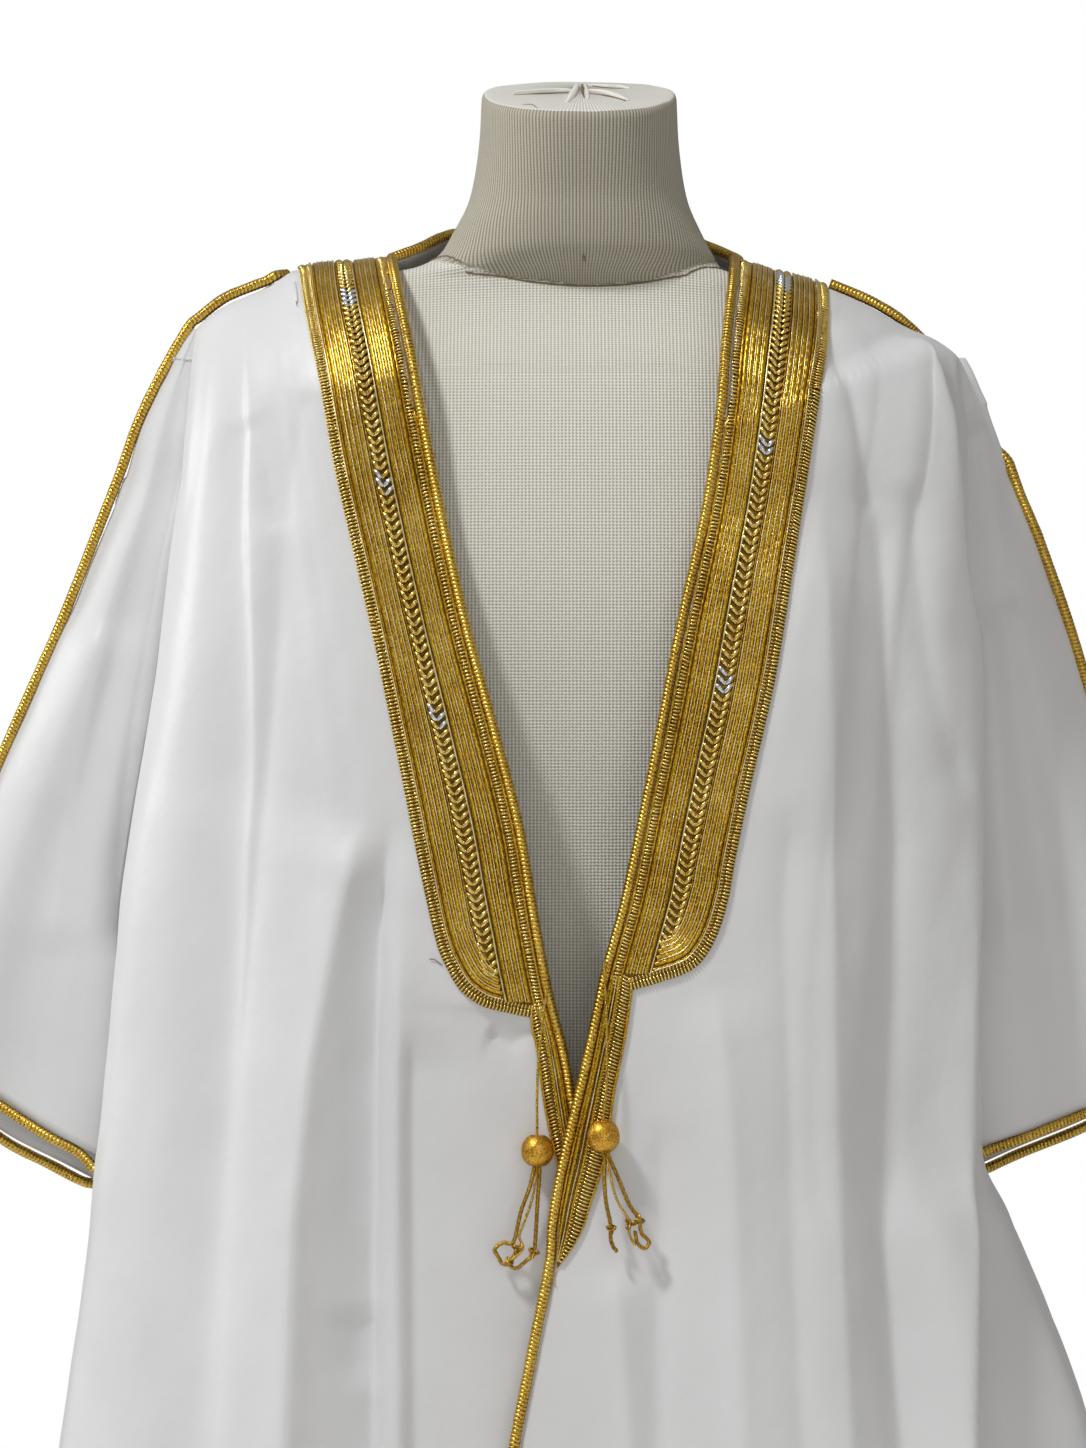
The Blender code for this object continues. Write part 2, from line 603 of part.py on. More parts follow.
def band(name, side, grid, outer_side, relief, top_z, bottom_z):
    """A raised band on a front panel, made from the panel's own rows, moved out."""
    sign = sign_of(side)
    normals = row_normals(grid)
    rings = []
    for level, row, facing in zip(level_rows(PANEL_ROWS[side]), grid, normals):
        if level > top_z or level < bottom_z - MM / 10:
            continue
        start = sign * row[0].x + SEAM
        end = read(outer_side[side], "out", "z", mix(row[0].z, row[BAND_STEPS].z, 0.7))
        upper = []
        lower = []
        for across, height in zip(relief["across"], relief["height"]):
            base = on_row(row[:BAND_STEPS + 6], sign * mix(start, end, across))
            normal = facing[0].lerp(facing[BAND_STEPS], across).normalized()
            upper.append(base + normal * (BAND_LIFT + height * MM))
            lower.append(base + normal * BAND_LIFT)
        last = len(lower) - 1
        rings.append(upper + [lower[last], lower[last * 2 // 3], lower[last // 3], lower[0]])
    lofted(name, rings, "gold", BAND_SHARP)


def edge_line(grid, column, neighbour, offset):
    """Middle of a cord along a column of outer points, beside the wall's edge."""
    normals = row_normals(grid)
    line = []
    for row, facing in zip(grid, normals):
        away = (row[column] - row[neighbour]).normalized()
        line.append(row[column] + facing[column] * EDGE_CORD_RISE + away * offset)
    return line


def front_side(side):
    """A front panel with its bands and edge cord."""
    grid = front_grid(side)
    cloth("front_" + side, grid, Vector((0, -1, 0)))
    bottom_z = BAND_BOTTOM_Z[side]
    band("band_" + side, side, grid, BAND_SIDE, BAND_RELIEF, SHOULDER_Z, bottom_z)
    band("narrow_band_" + side, side, grid, NARROW_SIDE, NARROW_RELIEF, bottom_z - MM, NARROW_TIP_Z)
    line = edge_line(grid, 0, 1, CORD_RADIUS + SEAM)
    cord("edge_cord_" + side, line, CORD_RADIUS)


def neck_line(grid):
    """Middle of the neck cord, along the back's neckline."""
    line = []
    for point, below in zip(grid[0], grid[1]):
        if abs(point.x) < NECK_REACH:
            line.append(point + (point - below).normalized() * (CORD_RADIUS + NECK_CLEAR))
    line[0] = line[0].lerp(line[1], END_SHARE)
    line[-1] = line[-1].lerp(line[-2], END_SHARE)
    return line


def top_line(side):
    """Middle of the cord over the shoulder and down the sleeve's fold."""
    band_end = BAND_SIDE[side]["out"][-1] + 4 * MM
    peak = SHOULDER[side]["out"][-1]
    outs = [mix(band_end, peak, i / TOP_STEPS) for i in range(TOP_STEPS + 1)]
    line = [Vector((sign_of(side) * out, 0, read(SHOULDER[side], "z", "out", out))) for out in outs]
    tip_z = CUFF[side]["front"][1]
    peak_z = SLEEVE_FOLD[side]["z"][-1]
    for i in range(1, FOLD_STEPS + 1):
        z = mix(peak_z, tip_z, i / FOLD_STEPS)
        line.append(Vector((sign_of(side) * read(SLEEVE_FOLD[side], "out", "z", z), 0, z)))
    return line


def cuff_line(grid):
    """Middle of the cord round a cuff, below the sleeve's last row."""
    line = []
    middle = len(grid[0]) // 2
    for i, point in enumerate(grid[-1]):
        down = (point - grid[-2][i]).normalized()
        inward = 1 if i < middle else -1
        wall = Vector((0, inward * WALL / 2, 0)) if i != middle else Vector((0, 0, 0))
        line.append(point + wall + down * (CORD_RADIUS + CUFF_CLEAR))
    line[0] = line[0].lerp(line[1], END_SHARE)
    line[-1] = line[-1].lerp(line[-2], END_SHARE)
    return line


def smooth_points(points, count):
    """Evenly spread points on a smooth curve through a few."""
    far = [0.0]
    for a, b in zip(points, points[1:]):
        far.append(far[-1] + (b - a).length)
    axes = {"far": far, "x": [p.x for p in points], "y": [p.y for p in points],
            "z": [p.z for p in points]}
    return [Vector([read(axes, axis, "far", far[-1] * i / (count - 1)) for axis in "xyz"])
            for i in range(count)]


def tie_line(side):
    """Middle of a tie cord, from the end of the wide band to the bead."""
    rows = TIES[side]
    route = []
    for x, z, clear in zip(rows["x"], rows["z"], rows["clear"]):
        face = front_depth(side, sign_of(side) * x, z, 0.0)
        route.append(Vector((x, -face - clear, z)))
    return smooth_points(route, TIE_POINTS)


def tassel(side):
    """A wound bead whose three strands grow out of its foot, each with a knot near its end."""
    middle = tie_line(side)[-1] - Vector((0, 0, BEAD_RADIUS + SEAM))
    shape = bmesh.new()
    bmesh.ops.create_uvsphere(shape, u_segments=12, v_segments=8, radius=BEAD_RADIUS)
    shape.faces.ensure_lookup_table()
    foot = [f for f in shape.faces if f.calc_center_median().z < -STRAND_FOOT * BEAD_RADIUS
            and len(f.verts) == 4]
    foot.sort(key=lambda f: math.atan2(f.calc_center_median().y, f.calc_center_median().x))
    strands = STRANDS[side]
    for turn, end_x, end_z, knot in zip(*(strands[key] for key in ("turn", "x", "z", "knot"))):
        face = foot[(turn + 5) % len(foot)]
        start = face.calc_center_median()
        end = Vector((end_x, -STRAND_FRONT - turn * STRAND_FAN, end_z))
        for share, width in zip(STRAND_SHARES, (1.0, 1.0, 1.0, knot, knot, 0.8)):
            made = bmesh.ops.extrude_discrete_faces(shape, faces=[face])
            face = made["faces"][0]
            old = face.calc_center_median()
            sway = Vector((math.sin(share * 5 + turn) * STRAND_SWAY, 0, 0))
            centre = start.lerp(end, share) + sway
            verts = sorted(face.verts, key=lambda v: math.atan2(v.co.y - old.y, v.co.x - old.x))
            for vert, (across, deep) in zip(verts, SQUARE):
                half = STRAND_WIDTH / 2 * width
                vert.co = centre + Vector((across * half, deep * half, 0))
    bmesh.ops.translate(shape, verts=shape.verts[:], vec=middle)
    bmesh.ops.recalc_face_normals(shape, faces=shape.faces[:])
    add_object("tassel_" + side, shape, "gold", 60)


def form_ring(i, shrink=0.0, lift=0.0):
    """One ring of the dress form, tilted forwards at the neck."""
    z = FORM_RINGS["z"][i]
    tilt = NECK_TILT * smooth((z - TILT_START_Z) / TILT_REACH)
    points = []
    for k in range(FORM_POINTS):
        angle = 2 * math.pi * k / FORM_POINTS
        c = math.cos(angle)
        s = math.sin(angle)
        half = FORM_RINGS["right" if c > 0 else "left"][i] - shrink
        deep = FORM_RINGS["back" if s > 0 else "front"][i] - shrink
        x = math.copysign(abs(c) ** (2 / FORM_SQUARE), c) * half
        y = math.copysign(abs(s) ** (2 / FORM_SQUARE), s) * deep
        points.append(Vector((x, y, z + lift + tilt * (y + TILT_MIDDLE_Y))))
    return points


def dress_form():
    """Torso with its neck, the cap on the neck, the pole and the round base."""
    count = len(FORM_RINGS["z"])
    lofted("form_torso", [form_ring(i) for i in range(count)], "linen")
    lofted("form_cap", [form_ring(count - 1, shrink, SEAM + lift) for shrink, lift in CAP_RINGS],
           "linen")
    pole_bottom = BASE_THICK + SEAM
    pole_top = FORM_BOTTOM_Z - SEAM
    stand = bmesh.new()
    bmesh.ops.create_cone(stand, cap_ends=True, segments=24, radius1=POLE_RADIUS,
                          radius2=POLE_RADIUS, depth=pole_top - pole_bottom)
    bmesh.ops.translate(stand, verts=stand.verts[:], vec=(0, 0, (pole_top + pole_bottom) / 2))
    add_object("form_pole", stand, "metal")
    base = bmesh.new()
    bmesh.ops.create_cone(base, cap_ends=True, segments=48, radius1=BASE_RADIUS,
                          radius2=BASE_RADIUS, depth=BASE_THICK)
    bmesh.ops.translate(base, verts=base.verts[:], vec=(0, 0, BASE_THICK / 2))
    rim = [e for e in base.edges if all(v.co.z > BASE_THICK / 2 for v in e.verts)]
    bmesh.ops.bevel(base, geom=rim, offset=4 * MM, offset_type="OFFSET", segments=3,
                    profile=0.5, affect="EDGES", material=-1)
    add_object("form_base", base, "metal")


def main():
    for old in list(bpy.data.objects):
        bpy.data.objects.remove(old, do_unlink=True)
    for side in ("left", "right"):
        front_side(side)
        sleeve = sleeve_grid(side)
        cloth("sleeve_" + side, sleeve, Vector((sign_of(side), 0, 0)))
        cord("cuff_cord_" + side, cuff_line(sleeve), CORD_RADIUS)
        cord("top_cord_" + side, top_line(side), CORD_RADIUS)
        cord("tie_" + side, tie_line(side), TIE_RADIUS)
        tassel(side)
    back = back_grid()
    cloth("back", back, Vector((0, 1, 0)))
    cord("neck_cord", neck_line(back), CORD_RADIUS)
    dress_form()


main()
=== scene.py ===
import math
import bmesh
import bpy
import numpy as np
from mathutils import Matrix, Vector, noise
from mathutils.bvhtree import BVHTree


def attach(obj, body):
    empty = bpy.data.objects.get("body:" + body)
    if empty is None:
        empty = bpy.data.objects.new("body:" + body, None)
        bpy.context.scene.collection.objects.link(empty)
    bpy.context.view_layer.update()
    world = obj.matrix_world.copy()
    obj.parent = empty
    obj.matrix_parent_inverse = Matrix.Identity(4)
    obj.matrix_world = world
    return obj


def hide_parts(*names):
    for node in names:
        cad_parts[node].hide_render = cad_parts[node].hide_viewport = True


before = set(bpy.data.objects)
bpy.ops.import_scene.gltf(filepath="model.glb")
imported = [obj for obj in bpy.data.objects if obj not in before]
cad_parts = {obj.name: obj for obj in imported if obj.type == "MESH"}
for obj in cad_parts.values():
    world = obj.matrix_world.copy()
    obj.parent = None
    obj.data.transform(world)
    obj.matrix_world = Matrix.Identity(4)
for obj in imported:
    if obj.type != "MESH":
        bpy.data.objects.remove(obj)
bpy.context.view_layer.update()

scene = bpy.context.scene
sides = {"left": -1, "right": 1}    # as seen from the front, which faces -Y
tiny = 1e-9

cameraSet = {"place": (-0.0227, -2.6, 1.181), "lens": 102.63}    # level, facing +Y
cameraData = bpy.data.cameras.new("camera")
cameraData.lens = cameraSet["lens"]
camera = bpy.data.objects.new("camera", cameraData)
camera.location = cameraSet["place"]
camera.rotation_euler = (math.pi / 2, 0, 0)
scene.collection.objects.link(camera)
scene.camera = camera
print("camera set")


def smoothStep(t):
    t = min(max(t, 0.0), 1.0)
    return t * t * (3 - 2 * t)


def softLine(points, step):
    # A smooth line through a few points, with a new point at about every step.
    perSpan = 24
    points = [Vector(p) for p in points]
    first = points[0] * 2 - points[1]
    last = points[-1] * 2 - points[-2]
    guide = [first] + points + [last]
    dense = []
    for i in range(1, len(guide) - 2):
        a, b, c, d = guide[i - 1:i + 3]
        here = (c - b).length
        tangentB = (c - a) * (here / max(here + (b - a).length, tiny))
        tangentC = (d - b) * (here / max(here + (d - c).length, tiny))
        for k in range(perSpan):
            t = k / perSpan
            dense.append(b * (2 * t ** 3 - 3 * t * t + 1) + tangentB * (t ** 3 - 2 * t * t + t)
                         + c * (3 * t * t - 2 * t ** 3) + tangentC * (t ** 3 - t * t))
    dense.append(points[-1].copy())
    return evenly(dense, step)


def evenly(points, step):
    # The same line with its points at even distances.
    far = [0.0]
    for a, b in zip(points, points[1:]):
        far.append(far[-1] + (b - a).length)
    count = max(int(round(far[-1] / step)), 2)
    spread = []
    place = 0
    for k in range(count + 1):
        aim = far[-1] * k / count
        while place < len(far) - 2 and far[place + 1] < aim:
            place += 1
        span = max(far[place + 1] - far[place], tiny)
        spread.append(points[place].lerp(points[place + 1], min((aim - far[place]) / span, 1.0)))
    return spread


def lineLength(points):
    return sum((b - a).length for a, b in zip(points, points[1:]))


def readLine(rows, at):
    # The value at a place in a short table, on straight lines between its rows.
    if at <= rows[0][0]:
        return rows[0][1]
    for (z0, v0), (z1, v1) in zip(rows, rows[1:]):
        if at <= z1:
            return v0 + (v1 - v0) * (at - z0) / (z1 - z0)
    return rows[-1][1]


def pieceFrom(name, mesh, finish, slot, *nodes):
    # Puts a finished mesh in the scene, in place of the CAD nodes named.
    piece = bpy.data.objects.new(name, mesh)
    scene.collection.objects.link(piece)
    if finish.name not in mesh.materials:
        mesh.materials.append(finish)
    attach(piece, "root")
    if nodes:
        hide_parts(*nodes)
    return piece


# finishes: white satin, gold and silver thread, linen and stand paint
def newFinish(name, colour, roughness, **more):
    finish = bpy.data.materials.new(name)
    finish.use_nodes = True
    shader = finish.node_tree.nodes["Principled BSDF"]
    shader.inputs["Base Color"].default_value = (*colour, 1)
    shader.inputs["Roughness"].default_value = roughness
    for label, value in more.items():
        shader.inputs[label.replace("_", " ")].default_value = value
    return finish, finish.node_tree.nodes, finish.node_tree.links, shader


def textureNode(nodes, links, kind, source, scale, **more):
    made = nodes.new(kind)
    links.new(source, made.inputs["Vector"])
    made.inputs["Scale"].default_value = scale
    for label, value in more.items():
        if label in made.inputs:
            made.inputs[label].default_value = value
        else:
            setattr(made, label, value)
    return made


def bumpNode(nodes, links, height, depth, before=None):
    made = nodes.new("ShaderNodeBump")
    made.inputs["Strength"].default_value = 1.0
    made.inputs["Distance"].default_value = depth
    links.new(height, made.inputs["Height"])
    if before:
        links.new(before.outputs["Normal"], made.inputs["Normal"])
    return made


def colourRamp(nodes, links, value, stops):
    made = nodes.new("ShaderNodeValToRGB")
    made.color_ramp.elements[0].position = stops[0][0]
    made.color_ramp.elements[0].color = (*stops[0][1], 1)
    made.color_ramp.elements[1].position = stops[-1][0]
    made.color_ramp.elements[1].color = (*stops[-1][1], 1)
    for place, colour in stops[1:-1]:
        made.color_ramp.elements.new(place).color = (*colour, 1)
    links.new(value, made.inputs["Fac"])
    return made


def grained(nodes, links, shader, scale, depth, detail=2.0):
    # A fine uneven surface.
    spot = nodes.new("ShaderNodeTexCoord").outputs["Object"]
    made = textureNode(nodes, links, "ShaderNodeTexNoise", spot, scale, Detail=detail)
    bump = bumpNode(nodes, links, made.outputs["Fac"], depth)
    links.new(bump.outputs["Normal"], shader.inputs["Normal"])
    return spot


satinLook = {
    "colour": (0.79, 0.79, 0.795), "shade": (0.75, 0.75, 0.755), "roughness": 0.42,
    "threads": 1800.0, "threadDepth": 0.00002, "crumple": 95.0, "crumpleDepth": 0.00035, "clouds": 9.0,
}
satin, nodes, links, shader = newFinish("whiteSatin", satinLook["colour"], satinLook["roughness"],
                                        Sheen_Weight=0.15, Sheen_Roughness=0.4)
spot = nodes.new("ShaderNodeTexCoord").outputs["Object"]
crumple = textureNode(nodes, links, "ShaderNodeTexNoise", spot, satinLook["crumple"], Detail=3.0)
clouds = textureNode(nodes, links, "ShaderNodeTexNoise", spot, satinLook["clouds"], Detail=2.0)
tint = colourRamp(nodes, links, clouds.outputs["Fac"],
                  [(0.35, satinLook["shade"]), (0.65, satinLook["colour"])])
links.new(tint.outputs["Color"], shader.inputs["Base Color"])
threads = textureNode(nodes, links, "ShaderNodeTexNoise", spot, satinLook["threads"], Detail=1.0)
first = bumpNode(nodes, links, crumple.outputs["Fac"], satinLook["crumpleDepth"])
second = bumpNode(nodes, links, threads.outputs["Fac"], satinLook["threadDepth"], first)
links.new(second.outputs["Normal"], shader.inputs["Normal"])

goldLook = {
    # deep, main and pale colour of each kind
    "laid": ((0.17, 0.066, 0.003), (0.58, 0.295, 0.012), (1.0, 0.71, 0.15)),
    "amber": ((0.20, 0.088, 0.002), (0.60, 0.325, 0.008), (1.0, 0.72, 0.10)),
    "stitch": ((0.42, 0.23, 0.015), (0.93, 0.66, 0.15), (1.0, 0.91, 0.50)),
    # the pale kind is painted highlight: near-white gold for glints
    "pale": ((0.90, 0.66, 0.18), (1.0, 0.88, 0.44), (1.0, 0.97, 0.78)),
    "bead": ((0.32, 0.13, 0.005), (0.84, 0.43, 0.03), (1.0, 0.74, 0.22)),
    "stops": (0.44, 0.62, 0.84), "patches": 26.0, "patchShare": 0.25, "glints": 1300.0,
    "speckle": {"laid": 0.00018, "amber": 0.00006, "stitch": 0.00018, "pale": 0.00018, "bead": 0.00018},
}
wavePeriod = 0.314    # a wave texture of scale 1 repeats after this many metres


def goldFinish(name, kind, brightness, wraps, roughness):
    # Metallic thread. Wraps are the turns of thread in a metre along a cord's own map, the strands
    # round it, how far painted shade darkens the grooves between them and how deep those grooves are.
    finish, nodes, links, shader = newFinish(name, goldLook[kind][1], roughness, Metallic=0.94,
                                             Coat_Weight=0.12, Coat_Roughness=0.18)
    place = nodes.new("ShaderNodeTexCoord")
    wide, fine = (textureNode(nodes, links, "ShaderNodeTexNoise", place.outputs["Object"], goldLook[size],
                              Detail=2.0) for size in ("patches", "glints"))
    mixed = nodes.new("ShaderNodeMath")
    mixed.operation = "MULTIPLY_ADD"
    mixed.inputs[1].default_value = goldLook["patchShare"]
    links.new(wide.outputs["Fac"], mixed.inputs[0])
    links.new(fine.outputs["Fac"], mixed.inputs[2])
    colours = [tuple(min(c * brightness, 1.0) for c in colour) for colour in goldLook[kind]]
    tint = colourRamp(nodes, links, mixed.outputs["Value"], list(zip(goldLook["stops"], colours)))
    links.new(tint.outputs["Color"], shader.inputs["Base Color"])
    bump = bumpNode(nodes, links, fine.outputs["Fac"], goldLook["speckle"][kind])
    if wraps:
        perMetre, strands, grooveShadeShare, depth = wraps
        turns = nodes.new("ShaderNodeMapping")
        turns.inputs["Scale"].default_value = (perMetre * wavePeriod * 2, strands * wavePeriod * 2, 1.0)
        links.new(place.outputs["UV"], turns.inputs["Vector"])
        wave = textureNode(nodes, links, "ShaderNodeTexWave", turns.outputs["Vector"], 1.0,
                           Distortion=0.8, wave_type="BANDS", bands_direction="DIAGONAL")
        bump = bumpNode(nodes, links, wave.outputs["Fac"], depth, bump)
        groovesShaded = nodes.new("ShaderNodeMath")    # painted shade: the grooves are coloured darker and the threads between them paler
        groovesShaded.operation = "MULTIPLY_ADD"
        groovesShaded.inputs[1].default_value = grooveShadeShare
        links.new(wave.outputs["Fac"], groovesShaded.inputs[0])
        links.new(mixed.outputs["Value"], groovesShaded.inputs[2])
        tint.color_ramp.elements[0].position = goldLook["stops"][0] + grooveShadeShare / 2
        links.new(groovesShaded.outputs["Value"], tint.inputs["Fac"])
    links.new(bump.outputs["Normal"], shader.inputs["Normal"])
    return finish


# cords with wraps carry painted shade in the grooves between their turns
cordGold = goldFinish("woundGoldCord", "laid", 0.88, (1 / 0.0024, 1, 0.18, 0.00040), 0.29)
laidGold = goldFinish("laidGoldThread", "amber", 1.0, (1 / 0.006, 3, 0.05, 0.00012), 0.33)
# pale near-white gold: painted highlights, the glints along the cords
paleGlintGold = goldFinish("paleGoldThread", "pale", 1.0, 0, 0.30)
strandGold = goldFinish("strandGoldThread", "laid", 0.74, 0, 0.34)
stitchGold = goldFinish("stitchGoldThread", "stitch", 1.0, 0, 0.24)
# the band's gold ground, darkened to deep brown as painted shade in the gaps between the threads
shadedGroundGold = goldFinish("bandGround", "laid", 0.36, 0, 0.50)
beadGold = goldFinish("woundBead", "bead", 1.0, 0, 0.38)
silver, nodes, links, shader = newFinish("silverThread", (0.80, 0.83, 0.88), 0.22, Metallic=0.95)
grained(nodes, links, shader, 700.0, 0.0002)

linenLook = {
    "linenBody": {"thread": (0.90, 0.875, 0.785), "gap": (0.44, 0.43, 0.365),
                  "ribs": 0.0022, "rows": 0.0020, "rowShare": 0.75},
    # the neck's knit: a darker linen, darkened further as painted shade
    "linenNeckShaded": {"thread": (0.54, 0.505, 0.41), "gap": (0.24, 0.215, 0.155),
                  "ribs": 0.0021, "rows": 0.0017, "rowShare": 0.22},
    # the neck's knit where it runs over the cap, coloured lighter as painted light from above
    "linenTopLit": {"thread": (0.90, 0.885, 0.82), "gap": (0.66, 0.645, 0.57),
                 "ribs": 0.0021, "rows": 0.0016, "rowShare": 0.15},
    "grain": 0.0003, "fuzz": 700.0, "fuzzDepth": 0.0002,
}


def linenFinish(name):
    # Knitted linen: ribs along the map's first axis, rows along its second.
    look = linenLook[name]
    finish, nodes, links, shader = newFinish(name, look["thread"], 0.88, Sheen_Weight=0.2)
    place = nodes.new("ShaderNodeTexCoord")
    ribs = textureNode(nodes, links, "ShaderNodeTexWave", place.outputs["UV"], 1.0, Distortion=0.25,
                       wave_type="BANDS", bands_direction="X")
    ribs.inputs["Scale"].default_value = wavePeriod / look["ribs"]
    ribs.inputs["Detail Scale"].default_value = 3.0
    courses = textureNode(nodes, links, "ShaderNodeTexWave", place.outputs["UV"], 1.0, Distortion=0.6,
                          wave_type="BANDS", bands_direction="Y")
    courses.inputs["Scale"].default_value = wavePeriod / look["rows"]
    grain = nodes.new("ShaderNodeMath")
    grain.operation = "MULTIPLY_ADD"
    grain.inputs[1].default_value = look["rowShare"]
    links.new(courses.outputs["Fac"], grain.inputs[0])
    links.new(ribs.outputs["Fac"], grain.inputs[2])
    tint = colourRamp(nodes, links, grain.outputs["Value"],
                      [(0.15, look["gap"]), (0.55 + look["rowShare"] * 0.6, look["thread"])])
    links.new(tint.outputs["Color"], shader.inputs["Base Color"])
    fuzz = textureNode(nodes, links, "ShaderNodeTexNoise", place.outputs["Object"], linenLook["fuzz"],
                       Detail=3.0)
    first = bumpNode(nodes, links, fuzz.outputs["Fac"], linenLook["fuzzDepth"])
    second = bumpNode(nodes, links, grain.outputs["Value"], linenLook["grain"], first)
    links.new(second.outputs["Normal"], shader.inputs["Normal"])
    return finish


linenBody = linenFinish("linenBody")
linenNeckShaded = linenFinish("linenNeckShaded")
linenTopLit = linenFinish("linenTopLit")

gatheredLinen, nodes, links, shader = newFinish("gatheredLinen", (0.86, 0.84, 0.77), 0.88, Sheen_Weight=0.2)
grained(nodes, links, shader, 700.0, 0.0003, 3.0)
# dark brown thread: the real neck seam and thread end, and painted shadow in the cap's slits
seamThreadAndShadow, nodes, links, shader = newFinish("seamThreadAndShadow", (0.20, 0.155, 0.075), 0.75)
grained(nodes, links, shader, 900.0, 0.0002)
standPaint, nodes, links, shader = newFinish("standPaint", (0.60, 0.60, 0.61), 0.38, Metallic=0.35)
spot = grained(nodes, links, shader, 420.0, 0.00008)
scuff = textureNode(nodes, links, "ShaderNodeTexNoise", spot, 35.0, Detail=6.0)
tint = colourRamp(nodes, links, scuff.outputs["Fac"],
                  [(0.40, (0.56, 0.56, 0.57)), (0.62, (0.66, 0.66, 0.67))])
links.new(tint.outputs["Color"], shader.inputs["Base Color"])
print("finishes ready")


# threads and cords are curves that are made meshes
def threadCurve(name, radius, ring):
    curve = bpy.data.curves.new(name, "CURVE")
    curve.dimensions = "3D"
    curve.bevel_depth = radius
    curve.bevel_resolution = ring
    curve.use_fill_caps = True
    return curve


def addThread(curve, points, widths=None):
    spline = curve.splines.new("POLY")
    spline.points.add(len(points) - 1)
    for i, point in enumerate(points):
        spline.points[i].co = (*point, 1)
        if widths:
            spline.points[i].radius = widths[i]


def meshOfCurve(curve, length=1.0):
    # The curve as a mesh, with its map's first axis in metres along it.
    holder = bpy.data.objects.new(curve.name, curve)
    scene.collection.objects.link(holder)
    bpy.context.view_layer.update()
    made = bpy.data.meshes.new_from_object(holder.evaluated_get(bpy.context.evaluated_depsgraph_get()))
    bpy.data.objects.remove(holder)
    made.name = curve.name
    made.materials.clear()
    made.shade_smooth()
    if made.uv_layers:
        chart = made.uv_layers[0].uv
        for corner in range(len(chart)):
            chart[corner].vector = (chart[corner].vector.x * length, chart[corner].vector.y)
    return made


def waver(point, size, amount):
    return amount * noise.noise(Vector(point) * size)


# the ties are the free cords, each with a wound bead and knotted strands
tieSet = {
    "radius": 0.001, "step": 0.0012, "twist": 0.0034,
    "strand": 0.56, "strandFar": 0.44,    # a strand's radius and how far it lies out, by the tie's radius
    "left": [(-0.0205, -0.1431, 1.0235), (-0.0235, -0.1428, 0.9990), (-0.0257, -0.1443, 0.9760),
             (-0.0263, -0.1454, 0.9550), (-0.0262, -0.1460, 0.9372)],
    "right": [(0.0135, -0.1470, 1.0395), (0.0150, -0.1523, 1.0050), (0.0152, -0.1555, 0.9800),
              (0.0145, -0.1571, 0.9620), (0.0130, -0.1577, 0.9471)],
}


def twisted(path, strands, far, turn):
    # Lines that run round a path, as the strands of a twisted cord do.
    lines = [[] for k in range(strands)]
    run = 0.0
    for i, point in enumerate(path):
        along = (path[min(i + 1, len(path) - 1)] - path[max(i - 1, 0)]).normalized()
        run += (point - path[i - 1]).length if i else 0.0
        sideways = along.cross(Vector((0, 1, 0)) if abs(along.y) < 0.9 else Vector((1, 0, 0))).normalized()
        upwards = along.cross(sideways)
        for k in range(strands):
            angle = 2 * math.pi * (run / turn + k / strands)
            lines[k].append(point + (sideways * math.cos(angle) + upwards * math.sin(angle)) * far)
    return lines


beadSet = {
    "radius": 0.0095, "height": 1.07, "gap": 0.0004, "threads": 60, "rings": 26,
    "rib": 0.00012, "ribFrom": 0.004, "lobe": 0.00022, "uneven": 0.0003,
    "dimple": 0.0032, "dimpleWide": 0.0024,
}
strandSet = {
    "radius": 0.00135, "thread": 0.60, "twist": 0.0040, "step": 0.001, "unit": 0.001, "knot": 0.0013,
    # from the bead's middle, in mm: how far across, in front and up
    "left": [
        [(-1.4, 0, -9), (-2.4, -0.6, -13), (-4.4, -1.4, -21.5), (-9.6, -1.6, -35.9), (-13.2, -1.2, -51.8),
         (-15.2, -1.0, -55.2), (-20.3, -0.4, -54.6), (-25.2, -0.2, -58.6), (-23.1, -0.4, -63.0),
         (-20.3, -1.2, -67.2), (-16.3, -1.8, -66.6), (-13.2, -2.2, -60.8), (-11.2, -2.4, -57.0)],
        [(1.4, 0, -9), (1.4, -0.4, -13), (0.2, -1.0, -31.1), (-0.6, -1.0, -45.4), (-1.6, -1.0, -59.0),
         (-2.6, -1.2, -62.4), (-6.0, -1.2, -64.8), (-12.4, -0.6, -69.8), (-17.6, -0.4, -67.4)]],
    "leftThrough": [(0, 0, -9), (-0.4, -1.4, -13), (-3.2, -3.0, -29.5), (-9.0, -3.6, -45.4),
                    (-10.6, -3.6, -51.0), (-8.4, -3.8, -57.0), (-11.6, -4.2, -61.6), (-16.0, -3.6, -64.6)],
    "right": [
        [(-0.6, 0, -9), (0.6, -0.6, -13), (0.6, -1.4, -25.5), (1.6, -1.6, -39.1), (4.6, -1.2, -54.2),
         (4.2, -1.0, -59.8), (5.6, -0.8, -65.0), (8.0, -0.6, -68.2)],
        [(2.4, 0, -9), (3.6, -0.4, -13), (8.8, -1.0, -24.7), (15.4, -1.2, -40.6), (20.8, -1.0, -48.6),
         (22.6, -0.6, -57.4), (27.2, -0.4, -62.6), (24.6, -0.6, -66.4), (20.4, -1.4, -63.6),
         (18.6, -2.2, -56.0)]],
    "rightThrough": [(1.2, 0, -9), (2.2, -1.4, -13), (4.2, -2.8, -23.1), (8.0, -3.4, -37.5),
                     (15.4, -3.4, -50.4), (15.2, -3.2, -57.4), (18.8, -2.8, -64.2)],
    # knots: where, and how big
    "leftKnots": [(-11.8, -3.0, -57.8, 1.05), (-2.4, -1.2, -60.6, 1.1), (-17.0, -3.2, -65.6, 0.85)],
    "rightKnots": [(4.6, -1.2, -55.0, 0.95), (15.6, -3.2, -51.4, 1.15), (21.0, -1.0, -49.4, 1.1)],
}


